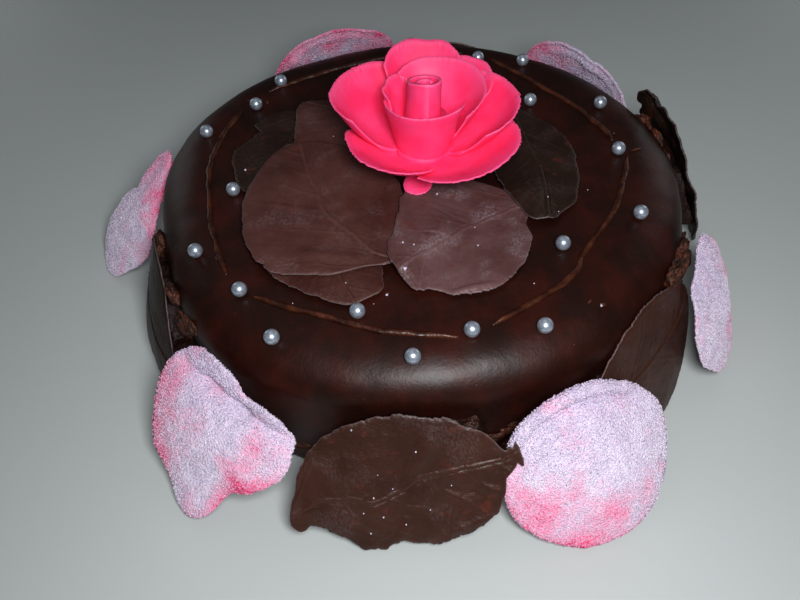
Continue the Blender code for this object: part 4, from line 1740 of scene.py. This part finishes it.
@dataclass(frozen=True)
class Ganache:
    """The ganache and crumb that fill the gap between the side and what leans on it."""

    cake: Torte
    shrink: float = 0.74
    behind: float = 1.8
    inside: float = 3.0
    top: float = 39.0
    rough: float = 1.4
    spokes: int = 96
    rings: int = 22
    lumps: tuple = (
        (340, 115.5, 40, 5), (334, 114.5, 46, 4.5), (329, 114, 50, 4), (339, 115, 28, 5.5), (345, 114, 34, 5),
        (310, 114.5, 24, 5), (307, 114.5, 17, 5.5), (314, 114, 33, 4.5), (318, 113.5, 39, 4), (303, 114, 30, 4.5),
        (190, 113.5, 44, 4.2), (186, 114, 38, 4), (212, 113.5, 40, 4), (216, 113.5, 45, 3.6), (206, 113, 48, 3.4),
        (284, 113.8, 27, 3), (281, 113.8, 24, 2.4), (285, 114, 15, 5), (242, 114, 13, 5), (12, 113.5, 51, 3.6),
        (7, 114, 47, 3.4), (2, 114, 44, 3.4), (17, 113, 53, 3.2),
    )

    def build(self, leaves: Sequence[ChocolateLeaf], finish: bpy.types.Material) -> bpy.types.Object:
        """Builds the fill behind each leaning leaf, all as one piece.

        Args:
            leaves: The leaves.
            finish: Its material.

        Returns:
            The piece.
        """
        bm = bmesh.new()
        for leaf in leaves:
            made = self._fill(leaf)
            mesh = bpy.data.meshes.new("fill")
            made.to_mesh(mesh)
            made.free()
            bm.from_mesh(mesh)
            bpy.data.meshes.remove(mesh)
        crumbly = layer(bm, "rim")
        for bearing, radius, height, size in self.lumps:
            self._add_lump(bm, crumbly, on_bearing(bearing, radius, height), size)
        return add_piece("broken_ganache", bm, finish)

    @staticmethod
    def _add_lump(bm: Mesh, crumbly: bmesh.types.BMLayerItem, middle: Vector, size: float) -> None:
        """Adds a flat lump of crumb that sticks to the side.

        Args:
            bm: The mesh that it is added to.
            crumbly: Layer that says how crumbly a point is.
            middle: The lump's middle.
            size: Its radius in millimetres.
        """
        outward = Vector((*middle.xy.normalized(), 0.0))
        sideways = Vector((-outward.y, outward.x, 0.0))
        for vert in bmesh.ops.create_icosphere(bm, subdivisions=4, radius=1.0)["verts"]:
            place = middle + vert.co * size
            flat = outward * (0.62 * vert.co.x) + sideways * (1.5 * vert.co.y) + Vector((0, 0, 1.15 * vert.co.z))
            swell = size * (1 + 0.7 * noise.fractal(place * 0.22, 0.8, 2.0, 3)) + 0.5 * noise.noise(place * 0.9)
            vert.co = middle + flat * max(swell, 0.8)
            vert.co.z = max(vert.co.z, FLOOR_GAP)
            vert[crumbly] = 1.0

    def _fill(self, leaf: ChocolateLeaf) -> Mesh:
        """One fill: a round sheet behind the leaf, drawn back into the cake and roughened.

        Args:
            leaf: The leaf that hides it.

        Returns:
            The mesh.
        """
        bm = disc(self.spokes, self.rings)
        crumbly = layer(bm, "rim")
        low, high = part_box(leaf.node)
        middle = (low + high) / (2 * MM)
        plain = sheet(12, 12)
        for vert in plain.verts:
            flat = leaf.flat(vert.co.x, vert.co.y, False)
            vert.co = leaf.lean.point(self.cake.radius, flat, 0.0)
        shift = middle - box_middle(plain)
        plain.free()
        for vert in bm.verts:
            a, b = vert.co.x, vert.co.y
            side = b / math.sqrt(max(1 - a * a, 0.001)) if abs(a) < 1 else 0.0
            flat = leaf.flat((a * self.shrink + 1) / 2, side * self.shrink, False)
            vert.co = leaf.leaning(self.cake, flat, -self.behind, shift)
            vert.co.z = min(vert.co.z, self.top + 2.0 * noise.noise(vert.co * 0.12))
            vert[crumbly] = 0.0
        front = list(bm.faces)
        made = bmesh.ops.extrude_face_region(bm, geom=front)["geom"]
        for vert in (item for item in made if isinstance(item, bmesh.types.BMVert)):
            inner = self.cake.radius - self.inside + self.cake.offset(vert.co.x, vert.co.y)
            height = min(max(vert.co.z, 1.0), self.cake.height - self.cake.shoulder_drop)
            vert.co = Vector((*(vert.co.xy.normalized() * inner), height))
            vert[crumbly] = 1.0
        walls = [e for e in bm.edges if (e.verts[0].co - e.verts[1].co).length > 3.0]
        bmesh.ops.subdivide_edges(bm, edges=walls, cuts=13, use_grid_fill=True)
        bmesh.ops.recalc_face_normals(bm, faces=bm.faces)
        bm.normal_update()
        moved = {}
        for vert in bm.verts:
            lump = noise.fractal(vert.co * 0.14, 0.8, 2.0, 4) + 0.7 * noise.noise(vert.co * 0.5)
            lump += 0.4 * noise.noise(vert.co * 1.1)
            moved[vert] = vert.normal * (self.rough * lump)
        for vert, move in moved.items():
            vert.co += move
            vert.co.z = max(vert.co.z, FLOOR_GAP)
        return bm


@dataclass(frozen=True)
class Dabs:
    """Small wet dabs of glaze on the top, as (x, y, length, width, turn in degrees)."""

    cake: Torte
    places: tuple = (
        (-72.6, 55.4, 4.5, 2.5, 30), (-67.0, 56.6, 2.6, 1.6, 70), (-78.5, -48.4, 4.2, 1.8, 120),
        (-80.8, -45.6, 2.6, 1.5, 60), (86.7, 12.4, 3.2, 2.0, 100), (95.8, 4.5, 5.0, 1.4, 20),
        (41.9, 91.1, 4.0, 2.0, 150), (-76.0, 58.5, 2.2, 1.4, 0), (58.9, -79.6, 2.2, 1.0, 45),
        (-14.9, -70.5, 2.0, 0.9, 0), (63.8, -80.5, 2.6, 1.0, 10), (89.0, 16.5, 2.0, 1.3, 0),
    )
    rise: float = 0.55

    def build(self, finish: bpy.types.Material) -> bpy.types.Object:
        """Builds all dabs as one piece.

        Args:
            finish: Its material.

        Returns:
            The piece.
        """
        bm = bmesh.new()
        for x, y, length, width, turn in self.places:
            made = bmesh.ops.create_icosphere(bm, subdivisions=3, radius=1.0)["verts"]
            heading = Matrix.Rotation(math.radians(turn), 3, "Z")
            for vert in made:
                swell = 1 + 0.35 * noise.noise(vert.co * 1.3 + Vector((x, y, 0.0)))
                flat = heading @ Vector((vert.co.x * length / 2 * swell, vert.co.y * width / 2 * swell, 0.0))
                place = Vector((x, y, 0.0)) + flat
                place.z = self.cake.top(place.x, place.y) + vert.co.z * self.rise * swell
                vert.co = place
        return add_piece("glaze_dabs", bm, finish)


@dataclass(frozen=True)
class StraySugar:
    """Grains of sugar that fell on the top and on the leaves, as (x, y, size)."""

    places: tuple = (
        (-7.6, -63.5, 1.5), (-7.7, -50.2, 0.7), (-3.6, -51.7, 0.7), (21.0, -51.2, 0.8), (7.5, -22.8, 0.9),
        (-73.0, 3.5, 0.9), (20.9, -41.1, 0.5), (-14.9, -71.2, 1.0), (63.0, -81.2, 0.9), (-79.7, 12.2, 0.6),
        (-24, -133, 0.8), (-21, -137, 0.7), (-28, -136, 0.6), (-26, -140, 0.7), (-13, -139, 0.6),
        (-10, -143, 0.7), (4, -131, 0.6), (24, -124, 0.9), (-8, -124, 0.7), (-30, -118, 0.8),
        (-17, -131, 0.5), (-4, -136, 0.5), (-22, -128, 0.5), (12, -118, 0.6), (-6, -146, 0.6),
        (40, -70, 0.5), (-20, -75, 0.5), (30, 60, 0.5), (70, -20, 0.5), (-50, -72, 0.5),
        (52, -27, 0.6), (55, -35, 0.5), (-30, -66, 0.5), (-35, 20, 0.5), (-5, 90, 0.5),
    )

    def build(self, under: Sequence[bpy.types.Object], finish: bpy.types.Material) -> bpy.types.Object:
        """Builds the grains where they lie on the pieces under them, all as one piece.

        Args:
            under: The pieces that the grains lie on.
            finish: Its material.

        Returns:
            The piece.
        """
        trees = [surface_of(piece) for piece in under]
        bm = bmesh.new()
        for x, y, size in self.places:
            hits = [tree.ray_cast(Vector((x, y, OVERHEAD)) * MM, DOWN)[0] for tree in trees]
            level = max((hit.z / MM for hit in hits if hit), default=None)
            if level is None or level < 2:
                continue
            turn = Matrix.Rotation(x * 3.7 + y, 4, Vector((0.3, 0.8, 0.5)).normalized())
            place = Matrix.Translation((x, y, level + 0.2 * size))
            bmesh.ops.create_cube(bm, size=size * 0.75, matrix=place @ turn)
        layer(bm, "bare")
        return add_piece("stray_sugar", bm, finish)


@dataclass(frozen=True)
class Studio:
    """The floor, the lights and the camera at the photograph's viewing angle.

    Attributes:
        focal: The lens in pixels of an image 800 pixels wide.
        elevation: How far the camera looks down, in degrees.
        distance: How far it is from the point that it looks at, in millimetres.
        roll: How far it is turned about its own axis, in degrees.
        aim: The point that it looks at.
    """

    focal: float = 809.0
    elevation: float = 48.69
    distance: float = 380.4
    roll: float = -3.58
    aim: tuple[float, float, float] = (-10.2, -19.8, 0.0)
    image_width: float = 800.0
    sensor: float = 36.0

    def camera(self) -> None:
        """Adds the camera."""
        tilt, roll = math.radians(self.elevation), math.radians(self.roll)
        back = Vector((0.0, -math.cos(tilt), math.sin(tilt)))
        right = Vector((1.0, 0.0, 0.0))
        up = Vector((0.0, math.sin(tilt), math.cos(tilt)))
        rolled_right = right * math.cos(roll) + up * math.sin(roll)
        rolled_up = -right * math.sin(roll) + up * math.cos(roll)
        data = bpy.data.cameras.new("camera")
        data.sensor_width = self.sensor
        data.lens = self.focal * self.sensor / self.image_width
        data.clip_start = 0.01
        obj = bpy.data.objects.new("camera", data)
        matrix = Matrix((rolled_right, rolled_up, back)).transposed().to_4x4()
        matrix.translation = (Vector(self.aim) + back * self.distance) * MM
        obj.matrix_world = matrix
        bpy.context.scene.collection.objects.link(obj)
        bpy.context.scene.camera = obj

    def floor(self) -> None:
        """Adds the plain pale floor."""
        bm = bmesh.new()
        bmesh.ops.create_grid(bm, x_segments=1, y_segments=1, size=3.0)
        mesh = bpy.data.meshes.new("floor")
        bm.to_mesh(mesh)
        bm.free()
        obj = bpy.data.objects.new("floor", mesh)
        graph = Graph("floor")
        obj.data.materials.append(graph.surface(Base_Color=(0.51, 0.535, 0.525), Roughness=0.6))
        bpy.context.scene.collection.objects.link(obj)

    def light(self, name: str, place: Vector, aim: Vector, size: float, watts: float, colour: Colour) -> None:
        """Adds a square soft light.

        Args:
            name: Its name.
            place: Where it is, in millimetres.
            aim: What it is turned to.
            size: Its side in millimetres.
            watts: Its power.
            colour: Its colour.
        """
        data = bpy.data.lights.new(name, "AREA")
        data.energy = watts
        data.size = size * MM
        data.color = colour
        obj = bpy.data.objects.new(name, data)
        obj.location = place * MM
        obj.rotation_euler = (aim - place).to_track_quat("-Z", "Y").to_euler()
        bpy.context.scene.collection.objects.link(obj)

    def lights(self) -> None:
        """Adds the key light near the camera, weak lights overhead and behind, and the world."""
        middle = Vector((0.0, 0.0, 40.0))
        self.light("key", Vector((30, -290, 330)), middle, 110, 1.4, (0.97, 0.985, 1.0))
        self.light("overhead", Vector((-100, 300, 900)), middle, 700, 0.35, (0.9, 0.96, 1.0))
        self.light("back_left", Vector((-430, 380, 170)), middle, 260, 0.17, (0.95, 0.98, 1.0))
        self.light("back_right", Vector((430, 330, 170)), middle, 260, 0.17, (0.95, 0.98, 1.0))
        world = bpy.data.worlds.new("studio")
        world.use_nodes = True
        background = world.node_tree.nodes["Background"]
        background.inputs["Color"].default_value = (0.80, 0.86, 0.90, 1.0)
        background.inputs["Strength"].default_value = 0.05
        bpy.context.scene.world = world
        view = bpy.context.scene.view_settings
        view.view_transform = "Standard"
        view.look = "Medium High Contrast"

    def build(self) -> None:
        """Adds everything that isn't the cake."""
        self.camera()
        self.floor()
        self.lights()


MAUVE = LeafFinish("mauve_leaf", (0.062, 0.020, 0.016), (0.112, 0.045, 0.038), 0.25, 0.46)
# partly painted sheen: this finish carries the strongest silvery patches
SILVERED = LeafFinish("silvered_leaf", (0.082, 0.034, 0.032), (0.150, 0.080, 0.080), 0.95, 0.40)
UNDER = LeafFinish("under_leaf", (0.047, 0.0130, 0.0095), (0.084, 0.030, 0.022), 0.15, 0.46)
# painted shade: a much darker copy of the leaf chocolate, for the leaves that stand in shade
SHADED = LeafFinish("shaded_leaf", (0.015, 0.0062, 0.0032), (0.032, 0.014, 0.0085), 0.12, 0.42)
BROWN = LeafFinish("brown_leaf", (0.034, 0.0105, 0.0058), (0.062, 0.021, 0.0125), 0.18, 0.38)

LEAVES = (
    (
        ChocolateLeaf(
            "leaf_top_under", (-60, -12), (-27, -76), 2, 20, 23,
            left_edge=((0.7, 0), (0.9, 6.5), (1, 10)), right_edge=((0.5, 0), (0.85, -1.4), (1, -1)),
        ),
        UNDER,
    ),
    (
        ChocolateLeaf(
            "leaf_top_left", (-50, 44), (-71, -11), 4, 22, 21,
            right_edge=((0.25, 1.5), (0.33, -4), (0.45, -2), (0.6, 2.2), (0.82, 0), (1, 0)),
            ragged=1.1,
        ),
        SHADED,
    ),
    (ChocolateLeaf("leaf_top_back", (4, 14), (20, 68), 3, 22, 22), SHADED),
    (
        ChocolateLeaf(
            "leaf_top_upper_left", (-9, 12), (-49, 50), -3, 26, 22,
            left_edge=((0.4, 0), (0.56, 6), (0.62, 8), (0.68, 3), (0.85, 0), (1, 1)),
            right_edge=((0.6, 0), (0.84, -5), (0.94, -3), (1, 0)),
            folds=((0.85, -2, 0.45, 4, 0.8, 3.5),),
        ),
        MAUVE,
    ),
    (
        ChocolateLeaf(
            "leaf_top_big", (-12, -58), (-56, 15), 8, 33, 37,
            left_edge=((0, -3), (0.04, -5), (0.1, 1.5), (0.25, 4.6), (0.35, 2.8), (0.45, 0.6), (0.6, -1), (0.8, 1)),
            right_edge=((0, -5), (0.04, -9), (0.13, -12.6), (0.23, -9.5), (0.31, -5.5), (0.44, -1.5), (0.6, 0)),
            rib=((0, -2), (0.1, 1), (0.27, -1), (0.45, -0.6), (0.62, -4), (0.93, -6.5)),
            folds=(
                (0.90, -11, 0.45, -7, 0.35, 1.0), (0.60, -17, 0.36, -6, 0.4, 1.2),
                (0.40, -22, 0.10, -4, 0.4, 1.0), (0.66, 18, 0.46, 0, 0.35, 1.0),
                (0.95, 4, 0.62, 6, 0.8, 3.0), (0.30, 22, 0.08, 5, 0.6, 3.0),
            ),
            relief=1.1,
        ),
        MAUVE,
    ),
    (
        ChocolateLeaf(
            "leaf_top_centre", (-12, -60), (44, -31), 4, 31, 28,
            left_edge=((0, 1), (0.04, -3.5), (0.13, -8.2), (0.25, -7), (0.33, -3), (0.5, 0), (0.85, 5), (1, 6)),
            right_edge=(
                (0, 9), (0.02, 7.3), (0.05, 4.2), (0.1, 1.4), (0.15, 0.8), (0.21, 3), (0.45, 4), (0.7, 3.3), (0.86, 1),
                (0.9, -5), (1, -3),
            ),
            rib=((0.05, -3.5), (0.25, -3.6), (0.41, -2.7), (0.58, -0.8), (0.78, 0.5), (0.95, 1.6)),
            folds=(
                (0.44, 14.5, 0.60, 0.5, -0.35, 0.7), (0.26, 6, 0.41, -2, -0.3, 0.7),
                (0.19, -24, 0.47, -31, 0.7, 1.0), (0.55, -3, 0.30, -20, 0.5, 3.0),
            ),
            forward=-1,
        ),
        SILVERED,
    ),
    (
        ChocolateLeaf(
            "leaf_top_right", (46, 38), (50, -39), 4, 17, 19,
            left_edge=((0.05, -3), (0.3, -1), (0.6, -0.3), (0.75, 1.6), (0.88, 3.4), (0.95, 0.8), (1, 2)),
            right_edge=((0.5, 0), (0.68, 1.8), (0.89, 2.2), (1, 4)),
            rib=((0.1, -0.9), (0.42, -1.8), (0.6, -0.3), (1, 0)),
            relief=1.3,
        ),
        SHADED,
    ),
    (ChocolateLeaf("leaf_side_right", (-43, 31), (27, 43), 0, 22, 33, Lean(319, 132, 14, 0.9), tuck=7.0), BROWN),
    (
        ChocolateLeaf(
            "leaf_side_back_right", (-22, 6), (25, 66), 4, 20, 19, Lean(12, 138, 17, 0.6),
            left_edge=((0, 0), (0.55, 1), (0.8, 3), (0.86, 4), (0.9, -2), (0.94, 4), (0.96, -1), (1, 5)),
            right_edge=((0.5, 0), (0.62, 3), (0.68, -1), (0.8, 1), (0.87, 4), (0.91, -1), (0.95, 4), (1, 4)),
            folds=((0.2, 4, 0.8, -8, 2.2, 4.0), (0.75, 8, 0.98, 2, 2.0, 2.5), (0.5, -14, 0.8, -16, 2.5, 4.0)),
            ragged=2.0, teeth=1.4, wavy=2.2,
        ),
        SHADED,
    ),
    (ChocolateLeaf("leaf_side_back", (-34, 30), (36, 42), 3, 26, 27, Lean(78, 132, 12, 0.9), tuck=5.0), BROWN),
    (ChocolateLeaf("leaf_side_back_left", (36, 30), (-36, 34), -3, 27, 26, Lean(143, 132, 14, 0.9), tuck=5.0), BROWN),
    (ChocolateLeaf("leaf_side_left", (-36, 32), (36, 24), 3, 24, 27, Lean(197, 131, 13, 0.9), tuck=7.5), SHADED),
    (
        ChocolateLeaf(
            "leaf_side_front", (38, 37), (-45, 11), -2, 28, 24, Lean(266, 142, 31, -0.3),
            left_edge=(
                (0, 0.5), (0.03, -6.6), (0.09, -8.4), (0.12, -4), (0.17, -1), (0.4, -1), (0.53, -2.6), (0.58, -4.8),
                (0.63, -3.4), (0.67, -1), (0.75, -1), (0.82, -6), (0.9, -8), (1, 0),
            ),
            right_edge=(
                (0, 4), (0.03, -3), (0.06, -6.5), (0.11, -3.4), (0.17, -1.6), (0.24, 0.7), (0.3, 0), (0.45, 3.4),
                (0.55, 5.4), (0.64, 7), (0.73, 8.4), (0.81, 9), (0.88, 6.6), (0.95, 2), (1, 0),
            ),
            rib=((0, -2), (0.09, -0.5), (0.42, -1.2), (0.52, 1.7), (0.63, 2.9), (0.73, -1.9), (0.85, -5), (1, -3)),
            folds=(
                (0.52, 1, 0.26, -21, 0.9, 3.0), (0.60, 22, 0.52, 12, 0.9, 2.0), (0.36, 4, 0.17, 12, -0.7, 2.5),
                (0.79, 0, 0.66, 15, 0.35, 0.8), (0.86, -2, 0.76, 12, 0.35, 0.8), (0.22, 8, 0.12, 12, 0.8, 2.0),
                (0.40, 24, 0.20, 20, 0.6, 1.6),
            ),
            forward=-1, ragged=0.9, relief=1.3, wavy=0.7,
        ),
        BROWN,
    ),
)

PETALS = (
    SugaredPetal(
        "petal_front_left", (-6, 35), (31, 34, 21, 23, 29, 29, 30, 29, 36, 40, 25, 27), 3,
        Lean(235, 155, 39, 0.3),
        (
            Crease((-28, 53), (-10, 49.5), 2.2, 2.4), Crease((-14, 50), (4, 45.8), 4.2, 3.0),
            Crease((0, 46.4), (24, 44.0), 3.8, 2.8), Crease((-16, 62), (16, 55), -2.0, 4.0),
            Crease((-24, 40), (20, 20), -1.6, 9.0),
        ),
        (2, -4.5, -1.5, 1, 1, 3.5, 0.5, 3, -4.5, -2, 0.5, 1), flushed=(190.0, 318.0), seed=3,
    ),
    SugaredPetal(
        "petal_front_right", (-8, 32), (34, 32, 28, 24, 28, 33, 35, 34, 34, 34, 34, 34), 4,
        Lean(297, 154, 38, 1.7), (),
        (3, -0.8, 0.3, 4.6, 1.4, -2, -3, 0, 0, 0.4, 1.6, 2.2), 3.4, flushed=(216.0, 250.0), seed=7,
    ),
    SugaredPetal(
        "petal_right", (0, 28), (23, 25, 28, 28, 27, 26, 27, 33, 34, 29, 24, 21), 4,
        Lean(337, 143, 27, 0.4), (Crease((-16, 44), (-6, 10), 1.8, 5.0),),
        (3, -1, -3, -4, -3, 0, 5, 0, -2, 0, 3, 3), flushed=(290.0, 320.0, 350.0), seed=11,
    ),
    SugaredPetal(
        "petal_back_right", (0, 34), (33, 32, 32, 31, 31, 31, 31, 31, 33, 34, 33, 33), 3,
        Lean(46, 144, 22, 0.6), (Crease((-10, 58), (4, 24), 1.5, 4.0),), lip=1.0, flushed=(30.0,), seed=15,
    ),
    SugaredPetal(
        "petal_back_left", (-4, 34), (35, 34, 33, 32, 34, 38, 38, 35, 34, 34, 34, 34), 3,
        Lean(110, 144, 22, 0.6), (Crease((16, 52), (-4, 20), 1.6, 4.0),), lip=0.8, flushed=(40.0, 90.0, 140.0),
        seed=19,
    ),
    SugaredPetal(
        "petal_left", (-88.5, 33), (18, 20, 23, 33, 18, 13, 14, 20, 31, 35, 25, 18), 4,
        Lean(212, 121, 41, 0), (Crease((-88, 58), (-92, 28), 1.2, 3.0),),
        (0, -4, -1, 1, -6, 0, 2, 0, -1, 1, 3, 6), flushed=(20.0, 65.0), seed=23,
    ),
)


def report(pieces: Sequence[bpy.types.Object]) -> None:
    """Logs each piece with its number of faces."""
    for piece in pieces:
        LOG.info("%s: %d faces", piece.name, len(piece.data.polygons))


def main() -> None:
    """Builds the dressed torte."""
    logging.basicConfig(level=logging.INFO, format="%(message)s")
    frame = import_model()
    Studio().build()
    cake = Torte()
    cake_body = cake.body(GlazeFinish().make())
    piped = PipedFinish().make()
    report([PipedLine(cake).build(piped), Dabs(cake).build(piped)])
    report([Pearls(cake).build(PearlFinish().make())])
    finishes = {finish.name: finish.make() for _, finish in LEAVES}
    glazed = [cake_body]
    for leaf, finish in LEAVES:
        glazed.append(leaf.build(cake, frame["nodes"][leaf.node], finishes[finish.name]))
    report(glazed)
    report([Ganache(cake).build([leaf for leaf, _ in LEAVES if leaf.lean], GanacheFinish().make())])
    report(Rose().build(PasteFinish().make()))
    coat = SugarFinish("sugar_coat", False).make()
    grains = SugarFinish("sugar_crystals", True).make()
    report([StraySugar().build(glazed, grains)])
    for petal in PETALS:
        report(petal.build(cake, coat, grains))


if __name__ == "__main__":
    main()
